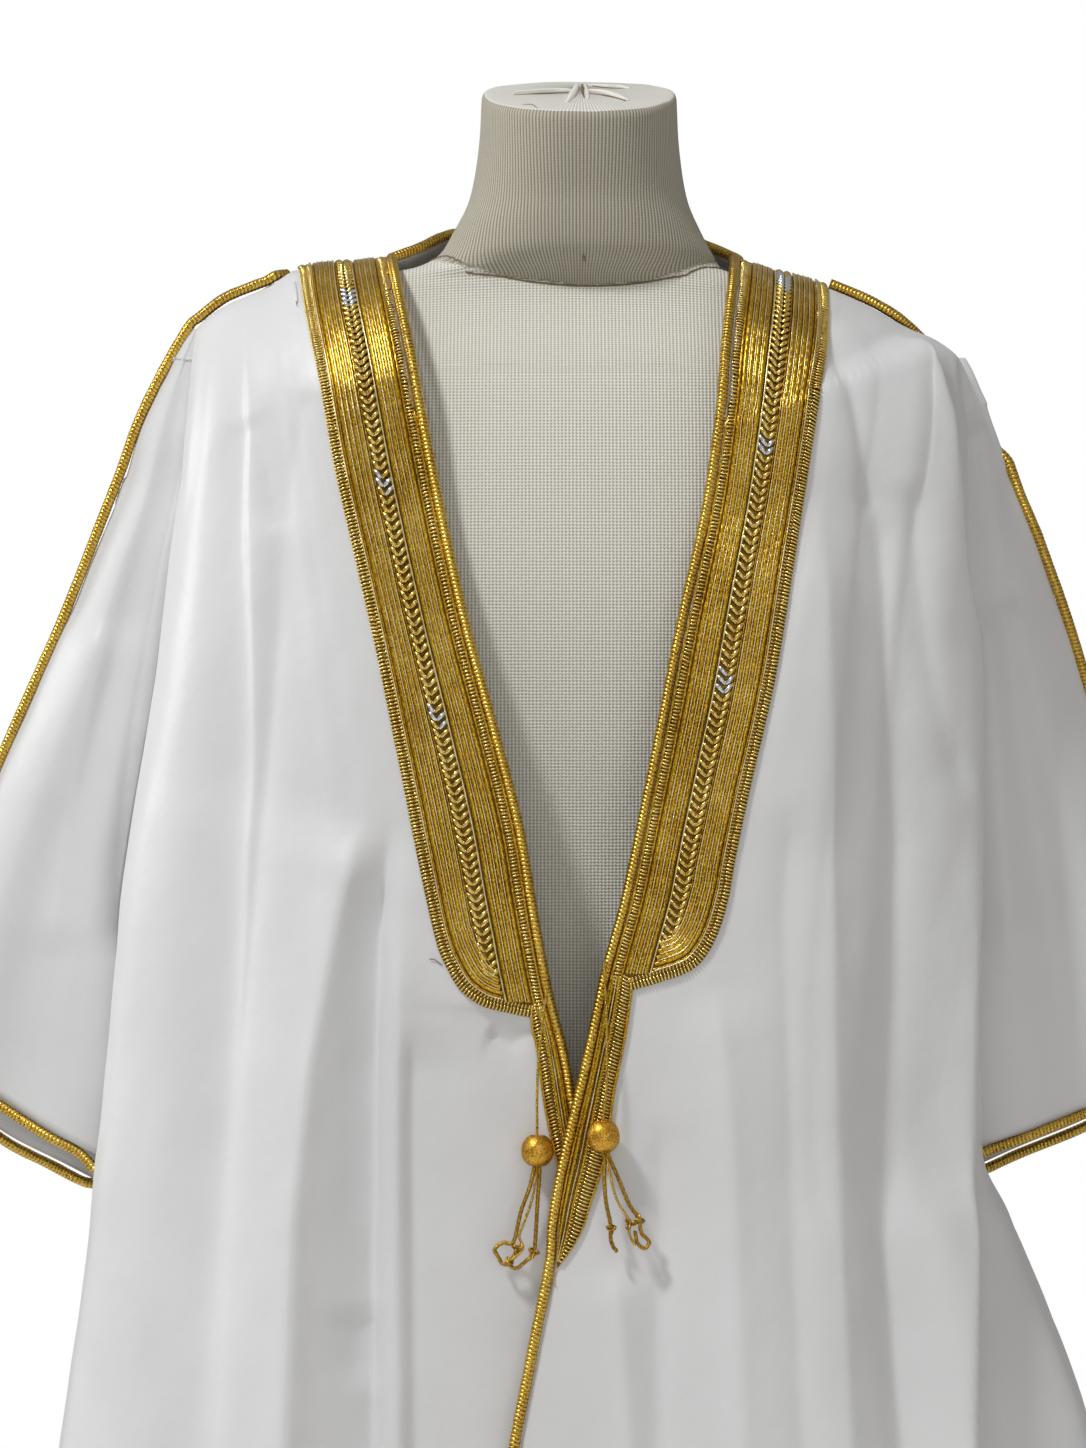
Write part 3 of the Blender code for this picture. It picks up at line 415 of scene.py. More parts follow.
def knotLine(middle, size, turn):
    # A small pulled-tight knot, on the curve of a trefoil.
    marks = 28
    line = []
    for k in range(marks):
        t = 2 * math.pi * k / marks
        line.append(middle + size * Vector((
            math.sin(t + turn) + 1.3 * math.sin(2 * t + turn), -0.9 * math.sin(3 * t),
            math.cos(t + turn) - 1.3 * math.cos(2 * t + turn))))
    line.append(line[0].copy())
    return line


for side in sides:
    hang = softLine(tieSet[side], tieSet["step"])
    middle = hang[-1] - Vector((0, 0, beadSet["radius"] + beadSet["gap"]))
    through = [middle + Vector(spot) * strandSet["unit"] for spot in strandSet[side + "Through"]]
    path = softLine(tieSet[side] + [tuple(middle)] + [tuple(p) for p in through], tieSet["step"])
    curve = threadCurve("tie_" + side, tieSet["radius"] * tieSet["strand"], 2)
    for line in twisted(path, 3, tieSet["radius"] * tieSet["strandFar"], tieSet["twist"]):
        addThread(curve, line)
    mesh = meshOfCurve(curve, lineLength(path))
    tie = pieceFrom("tieCord_" + side, mesh, cordGold, "gold_cord", "tie_" + side)

    bm = bmesh.new()
    bmesh.ops.create_uvsphere(bm, u_segments=beadSet["threads"] * 2, v_segments=beadSet["rings"],
                              radius=beadSet["radius"])
    for vert in bm.verts:
        flat = math.hypot(vert.co.x, vert.co.y)
        angle = math.atan2(vert.co.y, vert.co.x)
        rib = beadSet["rib"] * math.cos(angle * beadSet["threads"]) * min(flat / beadSet["ribFrom"], 1.0)
        lobe = beadSet["lobe"] * math.cos(angle * 3 + sides[side])
        lobe += waver(vert.co + middle, 190.0, beadSet["uneven"])
        dimple = beadSet["dimple"] * math.exp(-(flat / beadSet["dimpleWide"]) ** 2)
        vert.co += vert.co.normalized() * (rib + lobe) - Vector((0, 0, math.copysign(dimple, vert.co.z)))
        vert.co.z *= beadSet["height"]
    bmesh.ops.translate(bm, verts=bm.verts[:], vec=middle)
    bead = bpy.data.meshes.new("bead_" + side)
    bm.to_mesh(bead)
    bm.free()
    bead.shade_smooth()
    beadPiece = pieceFrom("woundBead_" + side, bead, beadGold, "gold_cord", "tassel_" + side)

    curve = threadCurve("strands_" + side, strandSet["radius"] * strandSet["thread"], 1)
    for route in strandSet[side]:
        marks = [middle + Vector(spot) * strandSet["unit"] for spot in route]
        strandPath = softLine(marks, strandSet["step"])
        for line in twisted(strandPath, 3, strandSet["radius"] * tieSet["strandFar"], strandSet["twist"]):
            addThread(curve, line)
    for number, (across, ahead, up, size) in enumerate(strandSet[side + "Knots"]):
        spot = middle + Vector((across, ahead, up)) * strandSet["unit"]
        addThread(curve, knotLine(spot, size * strandSet["knot"], 1.3 * number))
    mesh = meshOfCurve(curve)
    strandsPiece = pieceFrom("strands_" + side, mesh, strandGold, "gold_cord", "tassel_" + side)
print("ties and tassels hung")


# where the bands' edges and threads run, in the front view and across the band
bandSet = {
    # over the shoulder the cloth is taken as a roll of this height and radius, above a level
    "rollHeight": 0.100, "rollRadius": 0.106, "level": 1.36, "levelFade": 0.20, "topAngle": 1.545,
    "besideCord": 0.0029, "tip": 0.858, "step": 0.002,
    # outer outline in the front view: down the side, round the corner and in along the foot
    "outer": {
        "left": [(-0.1768, 1.4690), (-0.1672, 1.4345), (-0.1571, 1.385), (-0.1475, 1.333), (-0.1351, 1.279),
                 (-0.1213, 1.219), (-0.1080, 1.154), (-0.0960, 1.094), (-0.0858, 1.0495), (-0.0810, 1.0376),
                 (-0.0721, 1.0227), (-0.0602, 1.0138), (-0.0480, 1.0100), (-0.0304, 1.0061)],
        "right": [(0.1550, 1.4620), (0.1504, 1.414), (0.1388, 1.3455), (0.1280, 1.279), (0.1158, 1.207),
                  (0.1020, 1.148), (0.0917, 1.100), (0.0875, 1.0762), (0.0797, 1.0524), (0.0678, 1.0360),
                  (0.0469, 1.0275), (0.0303, 1.0227)]},
    "corner": {"left": 1.055, "right": 1.080},
    "narrow": {
        "left": [(-0.0300, 1.0061), (-0.0262, 0.985), (-0.0222, 0.955), (-0.0160, 0.925), (-0.0085, 0.895),
                 (-0.0015, 0.862)],
        "right": [(0.0303, 1.0227), (0.0261, 0.993), (0.0201, 0.9634), (0.0141, 0.922),
                  (0.0065, 0.898), (0.0010, 0.881), (-0.0065, 0.868), (-0.0140, 0.8580)]},
    # what is laid from the front edge outwards, by share of the width: place and radius
    "innerCords": [(0.165, 0.00155), (0.227, 0.0016), (0.289, 0.0016), (0.351, 0.00155)],
    "innerThreads": [(0.012, 0.00085), (0.117, 0.00075)], "paleLine": 0.402,
    "innerDots": (0.196, 0.258, 0.320),
    "innerLadder": (0.064, 0.042),
    "dotRadius": 0.00070, "paleRadius": 0.00068, "paleRise": 0.0023, "paleStep": 0.0026,
    "ladderRadius": 0.00060, "outerLadderRadius": 0.00064, "ladderTall": 0.0013, "ladderStop": 0.02,
    # and from the outer outline inwards
    "outerCords": [(0.190, 0.0015), (0.248, 0.00155), (0.306, 0.00155), (0.363, 0.0015)],
    "outerThreads": [(0.146, 0.00075), (0.408, 0.00065)],
    "outerDots": (0.130, 0.219, 0.277, 0.335, 0.387), "outerStop": 0.42,
    "outerLadder": (0.041, 0.043), "outerLadder2": (0.107, 0.027),
    # and on the narrow strip, by share of its own width
    "narrowCords": [(0.16, 0.0013), (0.42, 0.0012), (0.965, 0.0009), (0.03, 0.0008)],
    "narrowDots": 0.30, "narrowDotRadius": 0.00064, "narrowTaper": 22,
    # its stitches: place, lean, half their length, slant, radius, lift and height
    "narrowStitches": [(0.74, 0.25, 0.19, 0.0004, 0.00060, 0.0, 0.0012),
                       (0.49, 0.0, 0.06, 0.0, 0.00050, 0.0002, 0.0008)],
    "stitchStep": 0.0021, "dotStep": 0.0012, "underCord": 0.0014, "laidStep": 0.003,
    # how far above the cloth things lie
    "groundRise": 0.0011, "groundWall": 0.0008, "laidRise": 0.0013, "stitchRise": 0.0012, "dotRise": 0.0034,
    "ladderEnd": 0.135, "footGap": 0.0015, "cell": (0.003, 0.004),
    "topMarks": (0.09, 0.005, 20), "cornerAcross": 0.09,
}
braidSet = {
    "place": 0.500, "half": 0.086, "radius": 0.00122, "end": 0.44, "step": 0.0050,
    # each stitch runs out from the middle and up, and arches
    "out": (0.10, 0.86), "up": (0.0026, 0.0050), "arch": 0.0016,
    # heights of the silver stitches
    "left": (1.441, 1.326, 1.185), "right": (1.451, 1.348, 1.206),
    "silverShift": 0.0015, "silverNear": 0.0052,
}
clothSet = {
    "wall": 0.0012, "levels": 3, "corrections": 6, "correction": 1.35, "rimEdge": 0.0022, "weld": 0.00002,
    "closeRows": 0.0056, "closeBelow": 1.2, "cordRing": 0.0076, "creaseRound": 0.0025,
    # where the CAD's even folds are calmed: below a height and beside the band, both with a soft start
    "calming": 12, "calmBelow": 1.43, "calmDown": 0.09, "calmBeside": 0.004, "calmWide": 0.022,
    "rumples": [(14.0, 0.0016, 2.6), (48.0, 0.0005, 1.8)],
}


def wholeMesh(node):
    # A CAD node's loose triangles as one mesh to work on.
    bm = bmesh.new()
    bm.from_mesh(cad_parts[node].data)
    bmesh.ops.remove_doubles(bm, verts=bm.verts[:], dist=clothSet["weld"])
    return bm


def outerSkin(node, outwards):
    # The outer face of a CAD cloth wall as one sheet of quads.
    bm = wholeMesh(node)
    bmesh.ops.join_triangles(bm, faces=bm.faces[:], angle_face_threshold=math.pi,
                             angle_shape_threshold=math.pi, topology_influence=1.0)
    rim = [f for f in bm.faces if sum(e.calc_length() < clothSet["rimEdge"] for e in f.edges) >= 2]
    bmesh.ops.delete(bm, geom=rim, context="FACES_ONLY")
    seed = max(bm.faces, key=lambda f: f.calc_center_median().dot(outwards))
    kept = {seed}
    edge = [seed]
    while edge:
        face = edge.pop()
        for e in face.edges:
            for other in e.link_faces:
                if other not in kept:
                    kept.add(other)
                    edge.append(other)
    bmesh.ops.delete(bm, geom=[f for f in bm.faces if f not in kept], context="FACES")
    loose = [v for v in bm.verts if not v.link_faces]
    bmesh.ops.delete(bm, geom=loose, context="VERTS")
    close = {}    # rows that lie so close would show as a line
    for e in bm.edges:
        low, high = sorted(e.verts, key=lambda v: v.co.z)
        drop = high.co.z - low.co.z
        if high.co.z < clothSet["closeBelow"] and 0.6 * e.calc_length() < drop < clothSet["closeRows"]:
            close[low] = high
    bmesh.ops.weld_verts(bm, targetmap=close)
    return bm


def softened(name, bm, levels):
    # Subdivides a sheet so that it still passes through the CAD's own points.
    mesh = bpy.data.meshes.new(name)
    bm.to_mesh(mesh)
    bm.free()
    holder = bpy.data.objects.new(name, mesh)
    scene.collection.objects.link(holder)
    soft = holder.modifiers.new("Soft", "SUBSURF")
    soft.levels = soft.render_levels = 1
    soft.boundary_smooth = "PRESERVE_CORNERS"
    count = len(mesh.vertices)
    aim = np.zeros(count * 3)
    mesh.vertices.foreach_get("co", aim)
    control = aim.copy()
    for attempt in range(clothSet["corrections"]):
        graph = bpy.context.evaluated_depsgraph_get()
        graph.update()
        result = holder.evaluated_get(graph).to_mesh()
        got = np.zeros(len(result.vertices) * 3)
        result.vertices.foreach_get("co", got)
        control += (aim - got[:count * 3]) * clothSet["correction"]
        mesh.vertices.foreach_set("co", control)
        mesh.update()
    soft.levels = soft.render_levels = levels
    graph = bpy.context.evaluated_depsgraph_get()
    graph.update()
    made = bpy.data.meshes.new_from_object(holder.evaluated_get(graph))
    made.name = name
    bpy.data.objects.remove(holder)
    made.shade_smooth()
    return made


def cordRoute(node, towards):
    # Middle of a CAD cord: the mean of each of its rings, from the end that lies furthest that way.
    bm = wholeMesh(node)
    last = max(bm.verts, key=lambda v: v.co.dot(Vector(towards)))
    layer = {v for v in bm.verts if (v.co - last.co).length < clothSet["cordRing"]}
    route = []
    seen = set()
    while layer:
        route.append(sum((v.co for v in layer), Vector()) / len(layer))
        seen |= layer
        layer = {e.other_vert(v) for v in layer for e in v.link_edges} - seen
    bm.free()
    return route


def meshPoints(mesh):
    points = np.zeros(len(mesh.vertices) * 3)
    mesh.vertices.foreach_get("co", points)
    return points.reshape(-1, 3)


def meshNormals(mesh):
    normals = np.zeros(len(mesh.vertices) * 3)
    mesh.vertices.foreach_get("normal", normals)
    return normals.reshape(-1, 3)


def pressCreases(mesh, creases):
    # Soft ridges and troughs laid along lines in the front view. Each has its height and how far
    # it reaches to either side, in mm.
    points = meshPoints(mesh)
    normals = meshNormals(mesh)
    rise = np.zeros(len(points))
    for line, height, leftReach, rightReach in creases:
        nearest = np.full(len(points), 1e9)
        beside = np.zeros(len(points))
        share = np.zeros(len(points))
        total = len(line) - 1
        for i, ((ax, az), (bx, bz)) in enumerate(zip(line, line[1:])):
            dx, dz = bx - ax, bz - az
            long = math.hypot(dx, dz)
            t = np.clip(((points[:, 0] - ax) * dx + (points[:, 2] - az) * dz) / long ** 2, 0, 1)
            far = np.hypot(points[:, 0] - ax - t * dx, points[:, 2] - az - t * dz)
            closer = far < nearest
            nearest = np.where(closer, far, nearest)
            beside = np.where(closer, (points[:, 0] - ax) * -dz + (points[:, 2] - az) * dx, beside)
            share = np.where(closer, (i + t) / total, share)
        reach = np.where(beside > 0, rightReach, leftReach) * 0.001
        fade = np.clip(np.minimum(share, 1 - share) * 8, 0, 1)
        fade = fade * fade * (3 - 2 * fade)
        blunt = clothSet["creaseRound"]
        rise += height * 0.001 * np.exp(-(np.sqrt(nearest ** 2 + blunt ** 2) - blunt) / reach) * fade
    points += normals * rise[:, None]
    mesh.vertices.foreach_set("co", points.ravel())
    mesh.update()


def relax(bm, side):
    # Calms the CAD's even folds below the chest, so that those of the photo can be laid in.
    sign = sides[side]
    limit = bandSet["outer"][side]
    beside = {}
    for vert in bm.verts:
        outside = sign * vert.co.x - readLine([(z, sign * x) for x, z in reversed(limit)], vert.co.z)
        if vert.is_boundary or vert.co.z > clothSet["calmBelow"] or outside < clothSet["calmBeside"]:
            continue
        others = [e.other_vert(vert) for e in vert.link_edges]
        near = [o for o in others if abs(o.co.x - vert.co.x) > abs(o.co.z - vert.co.z)]
        if len(near) == 2:
            share = smoothStep((outside - clothSet["calmBeside"]) / clothSet["calmWide"])
            share *= smoothStep((clothSet["calmBelow"] - vert.co.z) / clothSet["calmDown"])
            beside[vert] = (near, share)
    for turn in range(clothSet["calming"]):
        depths = {v: (near[0].co.y + near[1].co.y) / 2 for v, (near, share) in beside.items()}
        for vert, depth in depths.items():
            vert.co.y += (depth - vert.co.y) * 0.5 * beside[vert][1]


def rumple(mesh, size, amount, stretch):
    # Gentle unevenness of hanging cloth, longer than wide.
    points = meshPoints(mesh)
    normals = meshNormals(mesh)
    rise = np.array([noise.noise(Vector((x * size, y * size, z * size / stretch))) for x, y, z in points])
    points += normals * (rise * amount)[:, None]
    mesh.vertices.foreach_set("co", points.ravel())
    mesh.update()


clothPieces = {
    "front_left": {"outwards": (0, -1, 0), "flat": (0.56, 1.48)},
    "front_right": {"outwards": (0, -1, 0), "flat": (0.58, 1.48)},
    "back": {"outwards": (0, 1, 0), "flat": (1.05, 1.49)},
    "sleeve_left": {"outwards": (-1, 0, 0), "flat": (0.30, 0.52)},
    "sleeve_right": {"outwards": (1, 0, 0), "flat": (0.30, 0.50)},
}
sleeveTop = {"rows": 5, "besideCord": 0.0010, "least": 0.0020, "toCord": 0.0017, "tuck": 0.006,
             "highest": 1.46, "search": 0.001, "atCord": 0.0012, "lift": 0.4, "topRow": 0.002,
             "flatness": 0.7}
cuffDrop = {
    # how much lower the front and the back layer hang, by the distance from the middle
    "left": ([(0.290, 0.0), (0.436, 0.0)],
             [(0.290, 0.0075), (0.360, 0.0190), (0.400, 0.0140), (0.436, 0.0)]),
    "right": ([(0.260, 0.0120), (0.320, 0.0080), (0.400, 0.0040), (0.426, 0.0)],
              [(0.260, 0.0180), (0.320, 0.0140), (0.400, 0.0080), (0.426, 0.0)]),
    # how far in the cord runs on at each end, and how far up the front and the back end go
    "ends": {"left": (0.0100, -0.0105, -0.003), "right": (0.0080, -0.0035, -0.002)}, "backEnd": 0.8,
    "reach": 0.12, "layers": 0.004,
}
nudges = {
    # the left shoulder's top is this much higher beside the band, by the distance from the middle
    "shoulder": [(0.100, 0.0), (0.1455, 0.0038), (0.172, 0.0088), (0.181, 0.0075), (0.195, 0.0012),
                 (0.210, 0.0)],
    "shoulderFrom": 1.42, "shoulderReach": 0.045,
    # and the right side is drawn in below the cuff
    "side": 0.009, "sideFrom": 0.20, "sideReach": 0.06, "sideHeight": 0.868, "sideSpread": 0.050,
    # how far the right front's edge is drawn over the left front, by height
    "lap": [(0.600, 0.0), (0.748, 0.0025), (0.839, 0.0060), (0.884, 0.0065), (0.941, 0.0015),
            (0.980, 0.0)],
    "lapReach": 0.045,
}


def nudged(point, node):
    # Small shifts from the CAD's place to the photograph's.
    x, y, z = point
    if node in ("front_right", "edge_cord_right"):
        x -= readLine(nudges["lap"], z) * (1 - smoothStep(x / nudges["lapReach"]))
    if x > nudges["sideFrom"]:
        x -= (nudges["side"] * smoothStep((x - nudges["sideFrom"]) / nudges["sideReach"])
              * math.exp(-((z - nudges["sideHeight"]) / nudges["sideSpread"]) ** 2))
    if x < 0:
        share = smoothStep((z - nudges["shoulderFrom"]) / nudges["shoulderReach"])
        z += readLine(nudges["shoulder"], -x) * share
    return Vector((x, y, z))


def cuffLowered(point, side, edgeHeight):
    front, back = (readLine(rows, abs(point.x)) for rows in cuffDrop[side])
    share = smoothStep(0.5 + point.y / cuffDrop["layers"])
    fade = 1 - smoothStep((point.z - edgeHeight) / cuffDrop["reach"])
    return point - Vector((0, 0, (front + (back - front) * share) * fade))


creases = {
    # lines in the front view, the height in mm and the reach to the left and right in mm
    "front_right": [
        ([(0.1406, 1.3266), (0.1449, 1.2589), (0.1457, 1.1742), (0.1465, 1.1065), (0.1482, 1.0219),
          (0.1491, 0.9373), (0.1525, 0.8526), (0.1576, 0.7511), (0.1702, 0.5141),
          (0.1897, 0.0910)], 12.0, 60, 26),
        ([(0.1669, 1.3604), (0.1821, 1.2927), (0.1872, 1.1912), (0.1880, 1.1065), (0.1872, 1.0219),
          (0.1829, 0.9373), (0.1821, 0.8696), (0.1872, 0.8019), (0.1922, 0.7477), (0.2066, 0.5141),
          (0.2278, 0.0910)], -13.0, 26, 26),
        ([(0.1941, 1.4225), (0.2007, 1.4093), (0.2085, 1.3894), (0.2140, 1.3650), (0.2162, 1.3385),
          (0.2195, 1.2810), (0.2240, 1.2544), (0.2284, 1.2323), (0.2290, 1.1742), (0.2280, 1.0219),
          (0.2260, 0.8950), (0.2290, 0.7477), (0.2410, 0.4295), (0.2590, 0.0910)], 23.0, 38, 9),
        ([(0.1952, 1.3296), (0.1985, 1.3031), (0.2029, 1.2544), (0.2085, 1.2102), (0.2151, 1.1704),
          (0.2240, 1.1350)], -3.5, 12, 5),
        ([(0.1505, 1.4380), (0.1530, 1.4200), (0.1576, 1.3982), (0.1653, 1.3650), (0.1709, 1.3318),
          (0.1745, 1.3050)], -3.5, 4, 8),
        ([(0.0780, 1.0261), (0.0856, 0.9711), (0.0898, 0.8950), (0.0932, 0.8103), (0.0958, 0.7477),
          (0.1008, 0.5141)], 5.5, 12, 18),
        ([(0.0484, 0.9542), (0.0467, 0.8526), (0.0458, 0.7477), (0.0433, 0.5564)], -4.5, 14, 10),
        ([(0.0196, 0.8611), (0.0247, 0.8019), (0.0289, 0.7477), (0.0348, 0.5564)], 4.5, 10, 12),
        ([(0.1262, 1.1404), (0.1203, 1.0727), (0.1229, 0.9711), (0.1262, 0.8526), (0.1313, 0.7477),
          (0.1389, 0.5141)], -4.0, 14, 20)],
    "front_left": [
        ([(-0.1818, 1.3181), (-0.1852, 1.2419), (-0.1937, 1.1404), (-0.2021, 1.0388), (-0.2106, 0.9373),
          (-0.2182, 0.8103), (-0.2224, 0.7477), (-0.2309, 0.5141), (-0.2461, 0.0910)], -7.5, 28, 16),
        ([(-0.1260, 1.1277), (-0.1420, 1.0727), (-0.1598, 0.9711), (-0.1683, 0.8865), (-0.1742, 0.7477),
          (-0.1818, 0.5141), (-0.1954, 0.0910)], 19.0, 34, 26),
        ([(-0.1133, 1.1277), (-0.1226, 1.0558), (-0.1260, 0.9711), (-0.1260, 0.8865), (-0.1251, 0.7477),
          (-0.1226, 0.4295), (-0.1192, 0.0910)], -19.0, 30, 6),
        ([(-0.1065, 1.0727), (-0.1099, 0.9711), (-0.1107, 0.8526), (-0.1099, 0.7477),
          (-0.1082, 0.4718)], 3.5, 6, 8),
        ([(-0.0997, 1.0050), (-0.1006, 0.9373), (-0.0997, 0.8526), (-0.0989, 0.7477),
          (-0.0963, 0.4295)], -5.0, 6, 18),
        ([(-0.2038, 1.3689), (-0.1911, 1.3350), (-0.1852, 1.3012)], -2.0, 10, 10),
        ([(-0.1657, 1.3858), (-0.1759, 1.3350), (-0.1818, 1.2927)], -1.8, 10, 10),
        ([(-0.0557, 0.9982), (-0.0413, 0.9914), (-0.0295, 1.0016)], -3.0, 6, 6),
        ([(-0.1361, 0.8300), (-0.1361, 0.8061), (-0.1340, 0.7860)], -4.0, 10, 10)],
    "sleeve_left": [
        ([(-0.2461, 1.3689), (-0.2648, 1.2758), (-0.2800, 1.1742), (-0.2868, 1.0896),
          (-0.2834, 1.0219)], -6.0, 22, 14),
        ([(-0.2952, 1.2504), (-0.3155, 1.1404), (-0.3291, 1.0304)], 5.0, 14, 18)],
    "sleeve_right": [
        ([(0.2549, 1.2589), (0.2633, 1.1404), (0.2684, 1.0219)], 5.0, 10, 16),
        ([(0.2690, 1.3470), (0.2703, 1.3000), (0.2710, 1.2500)], -2.5, 14, 5),
        ([(0.2420, 1.3560), (0.2470, 1.3610), (0.2560, 1.3680)], 2.0, 6, 3)],
    "back": [
        ([(-0.070, 1.380), (-0.082, 1.200), (-0.101, 1.000), (-0.118, 0.700),
          (-0.135, 0.100)], 5.0, 22, 34),
        ([(-0.020, 1.400), (-0.014, 1.150), (-0.022, 0.900), (-0.018, 0.500),
          (-0.026, 0.100)], -5.0, 20, 26),
        ([(0.052, 1.390), (0.066, 1.180), (0.075, 0.940), (0.092, 0.600), (0.098, 0.100)], 5.5, 30, 18),
        ([(0.128, 1.350), (0.140, 1.150), (0.150, 0.900), (0.168, 0.500), (0.186, 0.100)], -5.0, 16, 26),
        ([(-0.150, 1.340), (-0.158, 1.140), (-0.176, 0.880), (-0.190, 0.500),
          (-0.214, 0.100)], -4.5, 24, 16)],
}


def raiseSleeve(bm, side):
    # Carries the sleeve's cloth on up under the top cord, to the corner of the front.
    sign = sides[side]
    cuffLine = sorted((abs(p.x), p.z) for p in cordRoute("cuff_cord_" + side, edgeCords["cuff_cord_" + side]))
    for vert in bm.verts:
        vert.co = cuffLowered(vert.co, side, readLine(cuffLine, abs(vert.co.x)))
        if abs(vert.co.y) < sleeveTop["atCord"]:
            vert.co += Vector((sign, 0, sleeveTop["lift"])) * sleeveTop["toCord"]
    cordLine = sorted((p.z, sign * p.x) for p in cordRoute("top_cord_" + side, (0, 0, -1)))
    top = max(v.co.z for v in bm.verts)
    edge = [e for e in bm.edges
            if e.is_boundary and all(v.co.z > top - sleeveTop["topRow"] for v in e.verts)]
    start = {v: v.co.copy() for e in edge for v in e.verts}
    inner = min(sign * p.x for p in start.values())
    outer = max(sign * p.x for p in start.values())

    def widthAtHeight(high):
        return readLine(cordLine, high) - sleeveTop["besideCord"] - inner

    highest = top
    while (highest < sleeveTop["highest"]
           and widthAtHeight(highest + sleeveTop["search"]) > sleeveTop["least"]):
        highest += sleeveTop["search"]
    for row in range(1, sleeveTop["rows"] + 1):
        high = top + (highest - top) * row / sleeveTop["rows"]
        width = widthAtHeight(high)
        edge = [g for g in bmesh.ops.extrude_edge_only(bm, edges=edge)["geom"]
                if isinstance(g, bmesh.types.BMEdge)]
        raised = {}
        for vert in {v for e in edge for v in e.verts}:
            below = min(start, key=lambda v: (v.co - vert.co).length)
            raised[vert] = start[below]
        for vert, first in raised.items():
            share = (sign * first.x - inner) / (outer - inner)
            tuck = sleeveTop["tuck"] * row / sleeveTop["rows"] * (1 - share)
            deep = first.y * (width / (outer - inner)) ** sleeveTop["flatness"]
            vert.co = Vector((sign * (inner + width * share - tuck), deep, high))
        start = raised


edgeCords = {"edge_cord_left": (0, 0, -1), "edge_cord_right": (0, 0, -1), "neck_cord": (-1, 0, 0),
             "top_cord_left": (0, 0, -1), "top_cord_right": (0, 0, -1),
             "cuff_cord_left": (1, -1, 0), "cuff_cord_right": (-1, -1, 0)}
skins = {}
for node, facts in clothPieces.items():
    side = node.split("_")[-1]
    sheet = outerSkin(node, Vector(facts["outwards"]))
    if node.startswith("sleeve"):
        raiseSleeve(sheet, side)
    elif node.startswith("front"):
        relax(sheet, side)
    for vert in sheet.verts:
        vert.co = nudged(vert.co, node)
    mesh = softened(node + "_cloth", sheet, clothSet["levels"])
    for size, amount, stretch in clothSet["rumples"]:
        rumple(mesh, size, amount, stretch)
    pressCreases(mesh, creases.get(node, []))
    skins[node] = mesh
    piece = pieceFrom(node + "_satin", mesh, satin, "satin", node)
    wall = piece.modifiers.new("Wall", "SOLIDIFY")
    wall.thickness = clothSet["wall"]
    wall.offset = -1
    width, length = facts["flat"]


# wound gold cords along the cloth's edges
cordSet = {
    "radius": 0.0034, "step": 0.00118, "groove": 0.07, "uneven": (160.0, 0.06),
    # the left top cord goes in under the shoulder's cloth here
    "shownTo": -0.1895, "end": (0.007, 0.008, -0.001),
    # the cloth lies over a stretch of the right one, between two heights
    "hidden": (1.345, 1.418), "hiddenFade": 0.024, "tuckedIn": (-0.0085, 0.0035, -0.002),
    "tuckedWidth": 0.60, "closer": [(1.300, 0.0), (1.325, 0.0014), (1.470, 0.0010)], "closerDown": 0.7,
}
cordTops = {}
for node, towards in edgeCords.items():
    side = node.split("_")[-1]
    route = cordRoute(node, towards)
    if node.startswith("cuff"):
        across, frontDrop, backDrop = cuffDrop["ends"][side]
        across *= -sides[side]
        first = route[0] + Vector((across, 0, frontDrop))
        last = route[-1] + Vector((across * cuffDrop["backEnd"], 0, backDrop))
        route = [cuffLowered(p, side, p.z) for p in [first] + route + [last]]
    elif node == "neck_cord":
        route = [cordTops["left"]] + route + [cordTops["right"]]
    elif node == "top_cord_left":
        route = [p for p in route if p.x < cordSet["shownTo"]]
        route.append(route[-1] + Vector(cordSet["end"]))
    elif node.startswith("edge"):
        cordTops[side] = route[-1]
    path = softLine([nudged(p, node) for p in route], cordSet["step"])
    widths = [1.0 + waver(p, *cordSet["uneven"]) - cordSet["groove"] * (i % 2) for i, p in enumerate(path)]
    if node == "top_cord_right":
        low, high = cordSet["hidden"]
        for i, p in enumerate(path):
            under = smoothStep((p.z - low) / cordSet["hiddenFade"])
            under *= 1 - smoothStep((p.z - high) / cordSet["hiddenFade"])
            closer = readLine(cordSet["closer"], p.z)
            path[i] = p + Vector(cordSet["tuckedIn"]) * under - Vector((1, 0, cordSet["closerDown"])) * closer
            widths[i] *= 1 - cordSet["tuckedWidth"] * under
    curve = threadCurve(node, cordSet["radius"], 3)
    addThread(curve, path, widths)
    pieceFrom(node + "_wound", meshOfCurve(curve, lineLength(path)), cordGold, "gold_cord", node)
print("edge cords wound")


# embroidered bands: drawn flat, as (across, down), and then laid on the cloth
bandTrees = {}
bandTops = {}


def rollLevel(side, x):
    return readLine(bandTops[side], x) - bandSet["rollHeight"]


def heightAt(side, x, down):
    # Height of a place that is so far down the cloth, measured over the shoulder's roll.
    level = rollLevel(side, x)
    if down < 0:
        angle = min(-down / bandSet["rollRadius"], math.pi / 2)
        return level + bandSet["rollHeight"] * math.sin(angle)
    fade = 1 - smoothStep(down / bandSet["levelFade"])
    return bandSet["level"] + (level - bandSet["level"]) * fade - down


def downAt(side, x, z):
    low, high = -bandSet["rollRadius"] * bandSet["topAngle"], 0.7
    for attempt in range(34):
        middle = (low + high) / 2
        if heightAt(side, x, middle) > z:
            low = middle
        else:
            high = middle
    return (low + high) / 2


